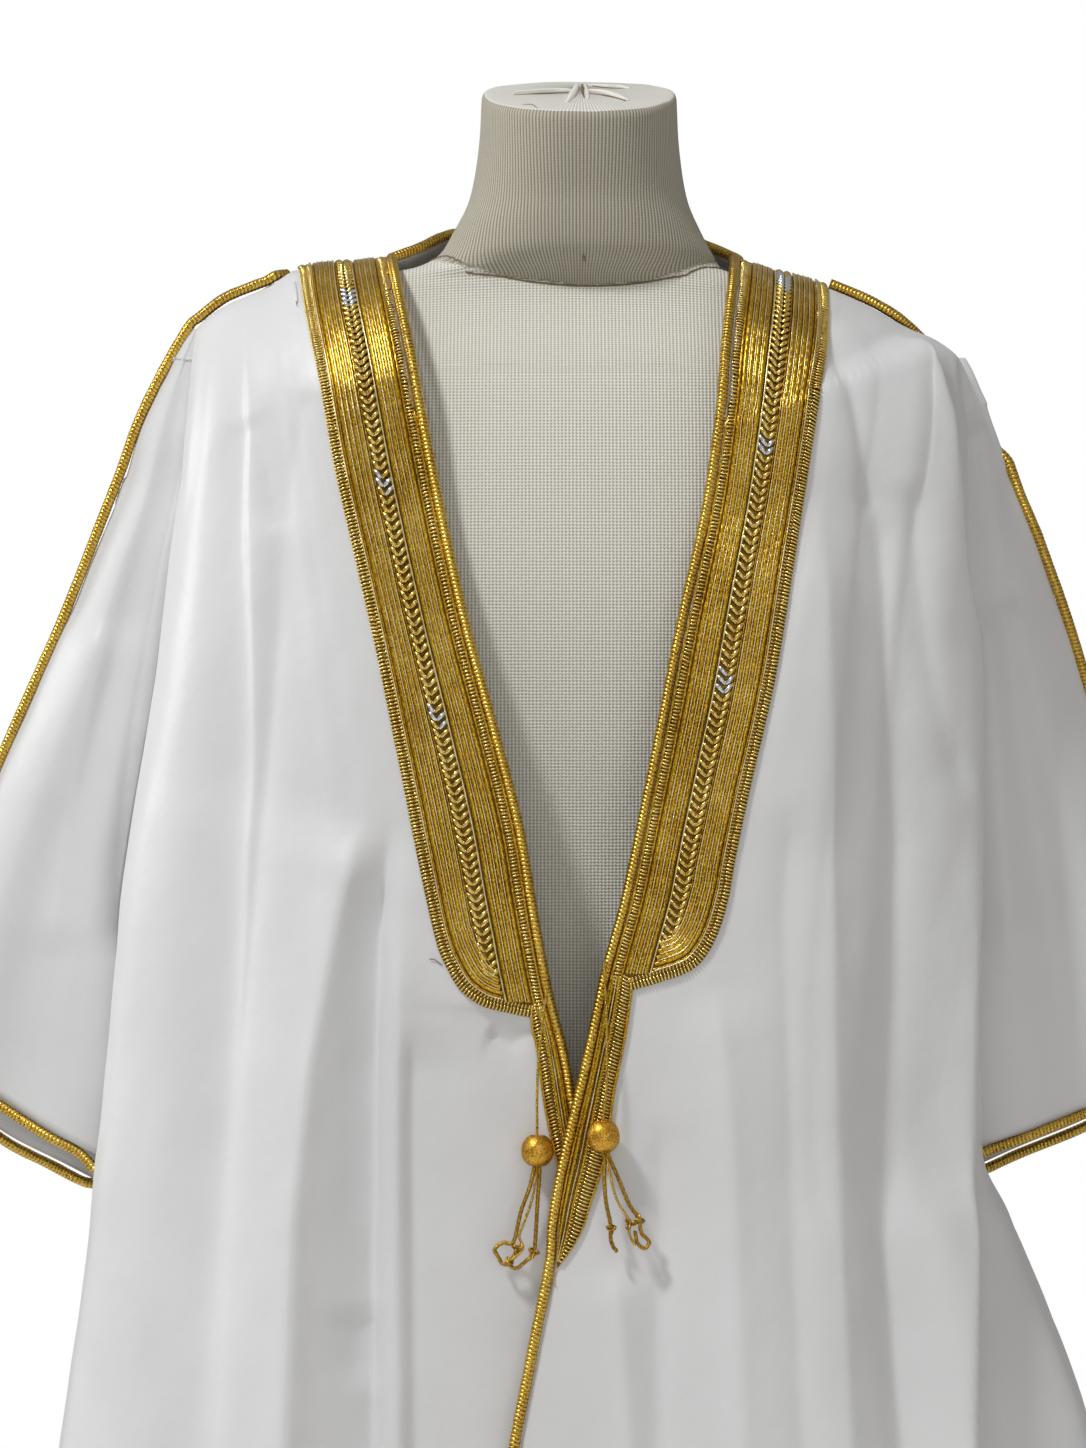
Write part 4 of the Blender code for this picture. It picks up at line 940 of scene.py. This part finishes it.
def onCloth(side, spot, rise):
    # A place across and down the front, as a point that far above the cloth.
    x, down = spot
    if down < 0:
        angle = min(-down / bandSet["rollRadius"], bandSet["topAngle"])
        into = Vector((0, math.cos(angle), -math.sin(angle)))
        aim = Vector((x, 0, rollLevel(side, x)))
    else:
        into = Vector((0, 1, 0))
        aim = Vector((x, -0.14, heightAt(side, x, down)))
    hit, normal, index, far = bandTrees[side].ray_cast(aim - into * 0.4, into)
    if hit is None:
        hit, normal, index, far = bandTrees[side].find_nearest(aim)
    if normal.dot(into) > 0:
        normal = -normal
    return hit + normal * rise


def acrossAt(line, down):
    return readLine([(spot[1], spot[0]) for spot in line], down)


def dense2d(line, step):
    return [(p.x, p.y) for p in softLine([(x, down, 0) for x, down in line], step)]


def normals2d(line, inwards):
    # Unit vectors square to a flat line, all on the side that inwards says.
    found = []
    for i in range(len(line)):
        ax, ay = line[max(i - 1, 0)]
        bx, by = line[min(i + 1, len(line) - 1)]
        long = math.hypot(bx - ax, by - ay) or tiny
        found.append((-(by - ay) / long * inwards, (bx - ax) / long * inwards))
    return found


def bandLines(side):
    # The front edge and the outer outline of a band, laid flat as (across, down).
    sign = sides[side]
    edge = []
    for p in reversed(cordRoute("edge_cord_" + side, (0, 0, -1))):
        p = nudged(p, "edge_cord_" + side)
        x = p.x + sign * bandSet["besideCord"]
        level = rollLevel(side, x)
        if p.z < bandSet["tip"] - 0.02:
            continue
        if p.z > level:
            down = -bandSet["rollRadius"] * math.atan2(p.z - level, max(-p.y, 1e-4))
        else:
            down = downAt(side, x, p.z)
        edge.append((x, down))
    edge[0] = (edge[0][0], -bandSet["rollRadius"] * bandSet["topAngle"])
    outer = [(x, downAt(side, x, z)) for x, z in bandSet["outer"][side]]
    outer[0] = (outer[0][0], -bandSet["rollRadius"] * bandSet["topAngle"])
    narrow = [(x, downAt(side, x, z)) for x, z in bandSet["narrow"][side]]
    return [dense2d(line, bandSet["step"]) for line in (edge, outer, narrow)]


def layCord(curve, side, line, radius, sunk=0.45, uneven=0.22, taper=0):
    # A cord laid along a flat line, drawn out thin over so many marks at its end.
    rise = bandSet["laidRise"] + radius * sunk
    route = evenly([onCloth(side, spot, rise) for spot in line], bandSet["laidStep"])
    widths = [radius * (1 + waver(p, 230.0, uneven)) for p in route]
    if taper:
        widths = [w * (0.45 + 0.55 * min((len(route) - i) / taper, 1)) for i, w in enumerate(widths)]
    addThread(curve, route, widths)


def addDots(curve, route, radius):
    # A thread that shows as a row of small dots, some of them sunk out of sight.
    route = evenly(route, bandSet["dotStep"])
    addThread(curve, route, [radius * (1.0 if i % 2 else 0.62) * (0.85 + waver(p, 95.0, 0.55))
                             for i, p in enumerate(route)])


def addStitch(curve, side, middle, across, half, slant, radius, rise, tall):
    # One raised stitch across a flat line, with its ends sunk into the cloth.
    along = (-across[1], across[0])
    route = []
    for t in (-1.0, -0.62, 0.0, 0.62, 1.0):
        spot = (middle[0] + across[0] * half * t + along[0] * slant * t,
                middle[1] + across[1] * half * t + along[1] * slant * t)
        route.append(onCloth(side, spot, rise + tall * (1 - t * t)))
    addThread(curve, route, [radius * w for w in (0.55, 1.0, 1.08, 1.0, 0.55)])


for side in sides:
    sign = sides[side]
    skin = skins["front_" + side]
    bandTrees[side] = BVHTree.FromPolygons([v.co for v in skin.vertices],
                                           [tuple(p.vertices) for p in skin.polygons])
    tops = []    # the shoulder's top line
    firstMark, markStep, count = bandSet["topMarks"]
    for k in range(count):
        x = sign * (firstMark + markStep * k)
        hit, normal, index, far = bandTrees[side].ray_cast(Vector((x, -0.0045, 2.0)), Vector((0, 0, -1)))
        if hit:    # past the shoulder's end there is none
            tops.append((x, hit.z))
    bandTops[side] = sorted(tops)
    edge, outer, narrow = bandLines(side)
    cornerDown = downAt(side, sign * bandSet["cornerAcross"], bandSet["corner"][side])
    cornerWidth = abs(acrossAt(outer, cornerDown) - acrossAt(edge, cornerDown))
    footDown = max(spot[1] for spot in outer)

    def widthAt(down):
        if down > cornerDown:
            return cornerWidth
        return abs(acrossAt(outer, down) - acrossAt(edge, down))

    def innerLine(share, last):
        # A line beside the front edge, from the shoulder down to a level.
        return [(x + sign * share * widthAt(down), down) for x, down in edge if down <= last]

    inwardNormals = normals2d(outer, sign)

    def outerLine(share, stopShare):
        # A line beside the outer outline, round the corner to the lines of the front edge.
        line = []
        for (x, down), (nx, ny) in zip(outer, inwardNormals):
            far = share * widthAt(down) * (abs(nx) if down < cornerDown else 1.0)
            spot = (x + nx * far, down + ny * far)
            stop = sign * acrossAt(edge, spot[1]) + stopShare * cornerWidth
            if down > cornerDown and sign * spot[0] < stop:
                break
            line.append(spot)
        return line

    # the ground that carries the threads, coloured dark as painted shade between them
    outline = [(x - sign * bandSet["underCord"], down) for x, down in edge]
    outline += reversed(outer + narrow[1:])
    lowX, lowDown = (min(spot[k] for spot in outline) for k in (0, 1))
    wide, high = (max(spot[k] for spot in outline) - low for k, low in ((0, lowX), (1, lowDown)))
    bm = bmesh.new()
    cellWide, cellHigh = bandSet["cell"]
    bmesh.ops.create_grid(bm, x_segments=int(wide / cellWide), y_segments=int(high / cellHigh), size=0.5)
    for vert in bm.verts:
        vert.co = Vector((lowX + (vert.co.x + 0.5) * wide, lowDown + (vert.co.y + 0.5) * high, 0))

    def inside(px, py):
        odd = False
        for (ax, ay), (bx, by) in zip(outline, outline[1:] + outline[:1]):
            if (ay > py) != (by > py) and px < ax + (py - ay) * (bx - ax) / (by - ay):
                odd = not odd
        return odd

    outside = [f for f in bm.faces if not inside(*f.calc_center_median().xy)]
    bmesh.ops.delete(bm, geom=outside, context="FACES")
    for vert in bm.verts:
        if vert.is_boundary:
            vert.co.xy = min(outline, key=lambda s: (s[0] - vert.co.x) ** 2 + (s[1] - vert.co.y) ** 2)
    bmesh.ops.remove_doubles(bm, verts=bm.verts[:], dist=cellWide / 10)
    for vert in bm.verts:
        vert.co = onCloth(side, tuple(vert.co.xy), bandSet["groundRise"])
    bmesh.ops.recalc_face_normals(bm, faces=bm.faces[:])
    if sum(f.normal.y for f in bm.faces) > 0:
        bmesh.ops.reverse_faces(bm, faces=bm.faces[:])
    mesh = bpy.data.meshes.new("bandGround_" + side)
    bm.to_mesh(mesh)
    bm.free()
    mesh.shade_smooth()
    ground = pieceFrom("bandGround_" + side, mesh, shadedGroundGold, "gold_thread",
                       "band_" + side, "narrow_band_" + side)
    wall = ground.modifiers.new("Wall", "SOLIDIFY")
    wall.thickness = bandSet["groundWall"]
    wall.offset = -1

    # laid cords: those past the ladder stitches end above the foot's own
    curve = threadCurve("laidCords_" + side, 1.0, 2)
    ladderWide = bandSet["ladderEnd"] * cornerWidth
    for share, radius in bandSet["innerCords"] + bandSet["innerThreads"]:
        last = footDown if share < bandSet["ladderEnd"] else footDown - ladderWide - bandSet["footGap"]
        layCord(curve, side, innerLine(share, last), radius)
    for share, radius in bandSet["outerCords"] + bandSet["outerThreads"]:
        layCord(curve, side, outerLine(share, bandSet["outerStop"]), radius)
    narrowPart = [(x, down) for x, down in edge if footDown - ladderWide < down < narrow[-1][1]]

    def narrowLine(share):
        return [(x + (acrossAt(narrow, down) - x) * share, down) for x, down in narrowPart]

    for share, radius in bandSet["narrowCords"]:
        layCord(curve, side, narrowLine(share), radius, 0.4, 0.15, bandSet["narrowTaper"])
    pieceFrom("laidCords_" + side, meshOfCurve(curve, 0.5), laidGold, "gold_thread", "band_" + side)

    # thin threads between the cords, in small dots, coloured near-white as painted highlights of the cords'
    # glints
    curve = threadCurve("dottedThreads_" + side, 1.0, 0)
    dotted = [innerLine(share, footDown - ladderWide) for share in bandSet["innerDots"]]
    dotted += [outerLine(share, bandSet["outerStop"]) for share in bandSet["outerDots"]]
    for line in dotted:
        addDots(curve, [onCloth(side, spot, bandSet["dotRise"]) for spot in line], bandSet["dotRadius"])
    line = narrowLine(bandSet["narrowDots"])
    route = [onCloth(side, spot, bandSet["dotRise"] - 0.0005) for spot in line]
    addDots(curve, route, bandSet["narrowDotRadius"])
    line = innerLine(bandSet["paleLine"], footDown - ladderWide)
    route = evenly([onCloth(side, spot, bandSet["paleRise"]) for spot in line], bandSet["paleStep"])
    addThread(curve, route, [bandSet["paleRadius"] * (1 + waver(p, 210.0, 0.6)) for p in route])
    pieceFrom("dottedThreads_" + side, meshOfCurve(curve, 0.5), paleGlintGold, "gold_thread", "band_" + side)

    # ladder stitches
    curve = threadCurve("ladders_" + side, 1.0, 1)
    low = bandSet["stitchRise"]
    share, half = bandSet["innerLadder"]
    rowsOfStitches = [(innerLine(share, footDown), half, bandSet["ladderRadius"])]
    for share, half in (bandSet["outerLadder"], bandSet["outerLadder2"]):
        line = outerLine(share, bandSet["ladderStop"])
        rowsOfStitches.append((line, half, bandSet["outerLadderRadius"]))
    for line, half, radius in rowsOfStitches:
        line = dense2d(line[::3] + [line[-1]], bandSet["stitchStep"])
        for (x, down), across in zip(line, normals2d(line, 1)):
            long = half * cornerWidth * (1 + waver((x, down, half), 420.0, 0.16))
            slant = waver((x, down, 3.0), 60.0, 0.0009)
            shift = waver((x, down, 7.0), 500.0, 0.0003)
            addStitch(curve, side, (x, down + shift), across, long, slant, radius, low,
                      bandSet["ladderTall"])
    for x, down in dense2d(narrowPart[::3] + [narrowPart[-1]], bandSet["stitchStep"]):
        width = acrossAt(narrow, down) - x
        for place, lean, half, slant, radius, lift, tall in bandSet["narrowStitches"]:
            addStitch(curve, side, (x + width * place, down), (1, lean * sign), abs(width) * half,
                      slant * sign, radius, low + lift, tall)
    pieceFrom("ladders_" + side, meshOfCurve(curve, 0.004), stitchGold, "gold_thread", "band_" + side)

    # braid of slanting stitches down the middle, with a few silver ones
    gold = threadCurve("braid_" + side, 1.0, 2)
    bright = threadCurve("silverStitches_" + side, 1.0, 2)
    nearest, reach = braidSet["out"]
    below, climb = braidSet["up"]
    line = innerLine(braidSet["place"], footDown - braidSet["end"] * cornerWidth)
    for x, down in dense2d(line[::3] + [line[-1]], braidSet["step"]):
        long = braidSet["half"] * widthAt(down)
        z = heightAt(side, x, down)
        for way in (-1, 1):
            silverHere = any(abs(z - level + braidSet["silverShift"] * way) < braidSet["silverNear"]
                             for level in braidSet[side])
            route = []
            for t in (0.0, 0.2, 0.5, 0.8, 1.0):
                spot = (x + way * long * (nearest + reach * t), down + below - climb * t)
                rise = low + braidSet["arch"] * math.sin(math.pi * (0.15 + 0.7 * t))
                route.append(onCloth(side, spot, rise))
            addThread(bright if silverHere else gold, route,
                      [braidSet["radius"] * w for w in (0.75, 1.05, 1.15, 1.0, 0.5)])
    pieceFrom("braid_" + side, meshOfCurve(gold, 0.006), stitchGold, "gold_thread", "band_" + side)
    pieceFrom("silverStitches_" + side, meshOfCurve(bright, 0.006), silver, "gold_thread", "band_" + side)

# a dark thread end beside the left band's corner, and a gold one below the right tip
threadEnds = {
    "darkThreadEnd": ("left", seamThreadAndShadow,
                      [(-0.0903, 1.0410), (-0.0875, 1.0408), (-0.0850, 1.0392), (-0.0826, 1.0374)]),
    "goldThreadEnd": ("right", stitchGold,
                      [(-0.0140, 0.8585), (-0.0160, 0.8545), (-0.0163, 0.8510), (-0.0150, 0.8470)]),
}
for name, (side, finish, marks) in threadEnds.items():
    curve = threadCurve(name, 0.0003, 1)
    addThread(curve, softLine([onCloth(side, (x, downAt(side, x, z)), 0.0008) for x, z in marks], 0.001))
    pieceFrom(name, meshOfCurve(curve, 0.02), finish, "gold_thread", "band_" + side)
print("bands embroidered")

# rings of the dress form: height, then how far left, right, front and back
formRings = [
    (0.800, 0.174, 0.174, 0.096, 0.100), (0.815, 0.185, 0.185, 0.100, 0.110),
    (0.880, 0.185, 0.185, 0.099, 0.112), (0.980, 0.173, 0.173, 0.091, 0.099),
    (1.080, 0.178, 0.177, 0.093, 0.096), (1.180, 0.195, 0.193, 0.109, 0.102),
    (1.260, 0.211, 0.207, 0.116, 0.102), (1.330, 0.2205, 0.2145, 0.109, 0.096),
    (1.384, 0.225, 0.216, 0.093, 0.085), (1.407, 0.2245, 0.2105, 0.081, 0.075),
    (1.425, 0.2215, 0.1995, 0.067, 0.066), (1.438, 0.2145, 0.1855, 0.0585, 0.0575),
    (1.4472, 0.1975, 0.1635, 0.0545, 0.0525), (1.4526, 0.1787, 0.1475, 0.0535, 0.0505),
    (1.4576, 0.1570, 0.1265, 0.0535, 0.0495), (1.4622, 0.1305, 0.1025, 0.0570, 0.0505),
    (1.4668, 0.1042, 0.0897, 0.0626, 0.0520), (1.4750, 0.0885, 0.0845, 0.069, 0.054),
    (1.490, 0.0790, 0.0765, 0.071, 0.054), (1.510, 0.0690, 0.0680, 0.071, 0.050),
    (1.540, 0.0632, 0.0630, 0.074, 0.048), (1.5690, 0.0614, 0.0614, 0.077, 0.047)]
formSet = {
    "roundness": 2.3, "turns": 168, "step": 0.0045, "neckRadius": 0.070,
    # the cap slopes up to the back
    "tilt": 0.30, "tiltStart": 1.49, "tiltReach": 0.07, "tiltMiddle": 0.015,
    # the underside's rings, by share of the lowest one, and the hollow in it
    "under": (0.05, 0.5, 0.9, 0.975), "hollow": 0.006, "edge": 0.002,
    # seam at the foot of the neck, in the front view and behind, and a pulled thread above it
    "seam": [(-0.0939, 1.4721), (-0.0498, 1.4576), (0.0006, 1.4513), (0.0447, 1.4544), (0.0939, 1.4733)],
    "seamBack": 1.4745, "seamMarks": 9, "seamRadius": 0.00062, "seamStep": 0.0016, "neckFrom": 1.478,
    "pull": [(0.0016, 1.4655), (0.0020, 1.4675), (0.0022, 1.4690), (0.0030, 1.4672), (0.0032, 1.4656)],
    "pullOut": 0.0009, "pullFrom": 1.466, "pullRadius": 0.0003, "pullStep": 0.0006,
}
# linen drawn over the top of the neck and gathered: rim, folds and slits
capSet = {
    "gather": (0.0018, 0.0160), "rings": 44, "neckRings": 3,
    "sizes": {"rolls": (1.35, 0.0), "shadowSlits": (1.9, 0.25)},    # how thick they are laid, and how far out
    # share of the outline and height of each ring over the rim
    "rim": [(0.999, 0.0010), (0.994, 0.0024), (0.985, 0.0037), (0.972, 0.0046), (0.955, 0.0051),
            (0.935, 0.0052)],
    "crown": 0.0008, "crownAt": 0.55, "crownWide": 0.3, "uneven": (60.0, 0.0004), "unevenTo": 0.98,
    # rolls of linen beside the slits and round the gathers: across and up as the camera sees them,
    # and radius in mm
    "rolls": [
        [(-0.0413, 1.5778, 0.4), (-0.0386, 1.5785, 1.0), (-0.0245, 1.5795, 1.4), (-0.0156, 1.5798, 1.4),
         (-0.0068, 1.5799, 1.2), (-0.0038, 1.5798, 0.6)],
        [(0.0047, 1.5796, 0.6), (0.0065, 1.5799, 1.0), (0.0153, 1.5790, 1.3), (0.0241, 1.5765, 1.3),
         (0.0312, 1.5738, 0.5)],
        [(0.0038, 1.5829, 0.5), (0.0082, 1.5831, 0.9), (0.0179, 1.5826, 1.0), (0.0250, 1.5825, 0.9),
         (0.0321, 1.5815, 0.4)],
        [(-0.0013, 1.5829, 1.0), (-0.0025, 1.5799, 1.7), (-0.0047, 1.5760, 1.7), (-0.0076, 1.5722, 0.6)],
        [(0.0043, 1.5823, 0.6), (0.0050, 1.5785, 1.3), (0.0057, 1.5744, 0.6)],
        [(0.0025, 1.5819, 0.7), (0.0050, 1.5831, 1.0), (0.0094, 1.5831, 0.6)]],
    # dark threads laid in the cap's slits and creases, painted shadow inside them
    "shadowSlits": [
        [(-0.0413, 1.5771, 0.15), (-0.0245, 1.5777, 0.45), (-0.0068, 1.5783, 0.35)],
        [(0.0073, 1.5779, 0.2), (0.0179, 1.5763, 0.45), (0.0294, 1.5733, 0.3)],
        [(0.0082, 1.5829, 0.15), (0.0179, 1.5815, 0.3), (0.0290, 1.5811, 0.1)],
        [(0.0021, 1.5833, 0.4), (0.0022, 1.5792, 0.45), (0.0033, 1.5752, 0.15)],
        [(-0.0356, 1.5712, 0.12), (-0.0298, 1.5710, 0.2), (-0.0259, 1.5685, 0.1)]],
}


def softRows(rows, step):
    # The rows of a table with smooth ones between them, even along the form's side.
    perSpan = 16
    table = np.array([rows[0]] + list(rows) + [rows[-1]])
    table[0] = 2 * table[1] - table[2]
    table[-1] = 2 * table[-2] - table[-3]
    gaps = np.hypot(np.diff(table[:, 0]), np.diff(table[:, 1]))
    dense = []
    for i in range(1, len(table) - 2):
        before, here, after = gaps[i - 1], gaps[i], gaps[i + 1]
        tangentB = (table[i + 1] - table[i - 1]) * here / (before + here)
        tangentC = (table[i + 2] - table[i]) * here / (here + after)
        for k in range(perSpan):
            t = k / perSpan
            dense.append(table[i] * (2 * t ** 3 - 3 * t * t + 1) + tangentB * (t ** 3 - 2 * t * t + t)
                         + table[i + 1] * (3 * t * t - 2 * t ** 3) + tangentC * (t ** 3 - t * t))
    dense = np.array(dense + [table[-2]])
    far = np.concatenate([[0], np.cumsum(np.hypot(np.diff(dense[:, 0]), np.diff(dense[:, 1])))])
    spots = np.linspace(0, far[-1], int(far[-1] / step))
    return [tuple(row) for row in np.stack([np.interp(spots, far, column) for column in dense.T], axis=1)]


def formPoint(row, turn, share=1.0, lift=0.0):
    # A place on a ring of the form, or nearer to the gathers on the cap.
    height, left, right, front, back = row
    angle = 2 * math.pi * turn / formSet["turns"] - math.pi / 2
    c, s = math.cos(angle), math.sin(angle)
    power = 2 / formSet["roundness"]
    x = math.copysign(abs(c) ** power, c) * (right if c > 0 else left)
    y = math.copysign(abs(s) ** power, s) * (back if s > 0 else front)
    x = x * share + capSet["gather"][0] * (1 - share)
    y = y * share + capSet["gather"][1] * (1 - share)
    tilt = formSet["tilt"] * smoothStep((height - formSet["tiltStart"]) / formSet["tiltReach"])
    return Vector((x, y, height + lift + tilt * (y + formSet["tiltMiddle"])))


bm = bmesh.new()
chart = bm.loops.layers.uv.new("UVMap")
rings = []
for share in formSet["under"]:
    lift = formSet["hollow"] * (1 - smoothStep((share - 0.9) / 0.1)) - formSet["edge"] * (share > 0.95)
    rings.append([formPoint(formRings[0], k, share, lift) for k in range(formSet["turns"])])
for row in softRows(formRings, formSet["step"]):
    rings.append([formPoint(row, k) for k in range(formSet["turns"])])
bodyRings = len(rings)
rimShare, rimLift = capSet["rim"][-1]
capRows = [(rimShare * (1 - k / capSet["rings"]), rimLift) for k in range(1, capSet["rings"])]
for share, lift in capSet["rim"] + capRows:
    ring = []
    for k in range(formSet["turns"]):
        point = formPoint(formRings[-1], k, share, lift)
        rise = capSet["crown"] * math.exp(-((share - capSet["crownAt"]) / capSet["crownWide"]) ** 2)
        if share < capSet["unevenTo"]:
            rise += waver((point.x, point.y, 0.3), *capSet["uneven"])
        ring.append(point + Vector((0, 0, rise)))
    rings.append(ring)


def onNeck(point):
    return (point.z > formSet["neckFrom"]
            or (point.y < 0 and point.z > readLine(formSet["seam"], point.x)))


def linenMap(point):
    # Metres round the form from the front, and metres up it.
    if onNeck(point):
        return math.atan2(point.x, -point.y) * formSet["neckRadius"], point.z
    return point.x + 0.4 * (point.y > 0), point.z + (point.y + 0.06) * 0.5 * (point.z > 1.40)


spots = {}
layers = []
run = 0.0
for number, ring in enumerate(rings):
    if number >= bodyRings:
        run += (rings[number - 1][0] - ring[0]).length
    layers.append([bm.verts.new(point) for point in ring])
    for k, vert in enumerate(layers[-1]):
        if number < bodyRings:
            spots[vert] = linenMap(vert.co)
        else:    # the neck's ribs run on over the cap
            u, v = spots[layers[bodyRings - 1][k]]
            spots[vert] = (u, v + run)
for number, (low, high) in enumerate(zip(layers, layers[1:])):
    # faces on the cap take the lighter copy of the knit: painted light from above
    onTop = number >= bodyRings + capSet["neckRings"]
    for k in range(formSet["turns"]):
        after = (k + 1) % formSet["turns"]
        face = bm.faces.new((low[k], low[after], high[after], high[k]))
        face.material_index = 2 if onTop else int(onNeck(face.calc_center_median()))
bm.faces.new(layers[0])
bm.faces.new(layers[-1]).material_index = 2
bmesh.ops.recalc_face_normals(bm, faces=bm.faces[:])
for face in bm.faces:
    places = [spots[loop.vert] for loop in face.loops]
    torn = max(p[0] for p in places) - min(p[0] for p in places) > 0.15    # where the map's ends meet
    for loop, (u, v) in zip(face.loops, places):
        loop[chart].uv = (abs(u) if torn else u, v)
torso = bpy.data.meshes.new("form_linen")
bm.to_mesh(torso)
bm.free()
torso.shade_smooth()
for finish in (linenBody, linenNeckShaded, linenTopLit):
    torso.materials.append(finish)
pieceFrom("form_linen", torso, linenBody, "linen", "form_torso", "form_cap")

# the seam at the foot of the neck and the pulled thread
torsoTree = BVHTree.FromPolygons([v.co for v in torso.vertices], [tuple(p.vertices) for p in torso.polygons])


def onFront(x, z):
    # The place on the form's front that shows there, or the nearest one past its outline.
    hit, normal, index, far = torsoTree.ray_cast(Vector((x, -0.5, z)), Vector((0, 1, 0)))
    return hit or torsoTree.find_nearest(Vector((x, -0.02, z)))[0]


seamLine = [onFront(x, z) for x, z in formSet["seam"]]
backSeam = []
for k in range(1, formSet["seamMarks"] + 1):
    angle = math.pi * k / (formSet["seamMarks"] + 1)
    outwards = Vector((math.cos(angle), math.sin(angle) * 0.7, 0)).normalized()
    level = Vector((0, 0, formSet["seamBack"] + 0.003 * math.sin(angle)))
    backSeam.append(torsoTree.ray_cast(level + outwards * 0.4, -outwards)[0])
seamRoute = softLine(seamLine + backSeam + [seamLine[0]], formSet["seamStep"])
curve = threadCurve("neckSeam", 1.0, 1)
onTorso = [torsoTree.find_nearest(p)[0] for p in seamRoute]
addThread(curve, onTorso, [formSet["seamRadius"] + waver(p, 320.0, 0.00018) for p in onTorso])
pull = []
for x, z in formSet["pull"]:
    out = formSet["pullOut"] if z > formSet["pullFrom"] else 0.0
    pull.append(Vector((x, onFront(x, z).y - out, z)))
pull = softLine(pull, formSet["pullStep"])
addThread(curve, pull, [formSet["pullRadius"]] * len(pull))
pieceFrom("neckSeam", meshOfCurve(curve, 0.6), seamThreadAndShadow, "linen", "form_torso")


def onCap(across, up, rise):
    # A place on the cap, given as the camera sees it.
    eye = Vector(cameraSet["place"])
    look = Vector((across, 0, up)) - eye
    hit, normal, index, far = torsoTree.ray_cast(eye, look)
    if hit is None or hit.z < 1.55:
        hit, normal, index, far = torsoTree.find_nearest(Vector((across, 0.04, up)))
    return hit + Vector((0, 0, rise))


# the slits are dark threads: painted shadow in the cap's openings and creases
for kind, finish in (("rolls", gatheredLinen), ("shadowSlits", seamThreadAndShadow)):
    thick, out = capSet["sizes"][kind]
    curve = threadCurve("cap" + kind.capitalize(), 1.0, 3)
    for roll in capSet[kind]:
        marks = [onCap(x, z, radius * out * 0.001) for x, z, radius in roll]
        route = softLine(marks, 0.0012)
        far = [0.0]
        for a, b in zip(marks, marks[1:]):
            far.append(far[-1] + (b - a).length)
        along = [(f / far[-1], radius) for f, (x, z, radius) in zip(far, roll)]
        total = len(route) - 1
        addThread(curve, route, [readLine(along, i / total) * thick * 0.001 for i in range(total + 1)])
    pieceFrom("cap" + kind.capitalize(), meshOfCurve(curve, 0.02), finish, "linen", "form_cap")
for node in ("form_pole", "form_base"):
    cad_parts[node].data.materials.clear()
    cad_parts[node].data.materials.append(standPaint)
print("form dressed")

# floor, lights and the pale studio
studioSet = {"colour": (1.0, 0.985, 0.96, 1), "strength": 0.30, "floor": 2.2, "paper": (0.86, 0.86, 0.86)}
bm = bmesh.new()
bmesh.ops.create_circle(bm, cap_ends=True, segments=96, radius=studioSet["floor"])
floorMesh = bpy.data.meshes.new("floor")
bm.to_mesh(floorMesh)
bm.free()
floor = bpy.data.objects.new("floor", floorMesh)
scene.collection.objects.link(floor)
paper, nodes, links, shader = newFinish("paleFloor", studioSet["paper"], 0.9)
floorMesh.materials.append(paper)

lights = {
    "key": {"place": (-2.63, -2.45, 5.70), "aim": (0, 0, 1.15), "size": 0.72, "power": 176,
            "colour": (0.98, 0.99, 1.0)},
    "front": {"place": (0.6, -3.2, 1.5), "aim": (0, 0, 1.1), "size": 2.4, "power": 13,
              "colour": (1.0, 0.98, 0.95)},
    "side": {"place": (-2.8, 0.35, 1.9), "aim": (0, 0, 1.3), "size": 0.8, "power": 22,
             "colour": (1.0, 1.0, 1.0)},
}
for name, facts in lights.items():
    data = bpy.data.lights.new(name, "AREA")
    data.size = facts["size"]
    data.energy = facts["power"]
    data.color = facts["colour"]
    lamp = bpy.data.objects.new(name, data)
    lamp.location = facts["place"]
    look = Vector(facts["aim"]) - Vector(facts["place"])
    lamp.rotation_euler = look.to_track_quat("-Z", "Y").to_euler()
    scene.collection.objects.link(lamp)
world = bpy.data.worlds.new("studio")
world.use_nodes = True
nodes = world.node_tree.nodes
links = world.node_tree.links
studioLight = nodes["Background"]
studioLight.inputs["Color"].default_value = studioSet["colour"]
studioLight.inputs["Strength"].default_value = studioSet["strength"]
whitePaper = nodes.new("ShaderNodeBackground")    # what shows behind the object
whitePaper.inputs["Color"].default_value = (1, 1, 1, 1)
either = nodes.new("ShaderNodeMixShader")
links.new(nodes.new("ShaderNodeLightPath").outputs["Is Camera Ray"], either.inputs["Fac"])
links.new(studioLight.outputs["Background"], either.inputs[1])
links.new(whitePaper.outputs["Background"], either.inputs[2])
links.new(either.outputs["Shader"], nodes["World Output"].inputs["Surface"])
scene.world = world
scene.view_settings.view_transform = "Standard"
print("lights set")
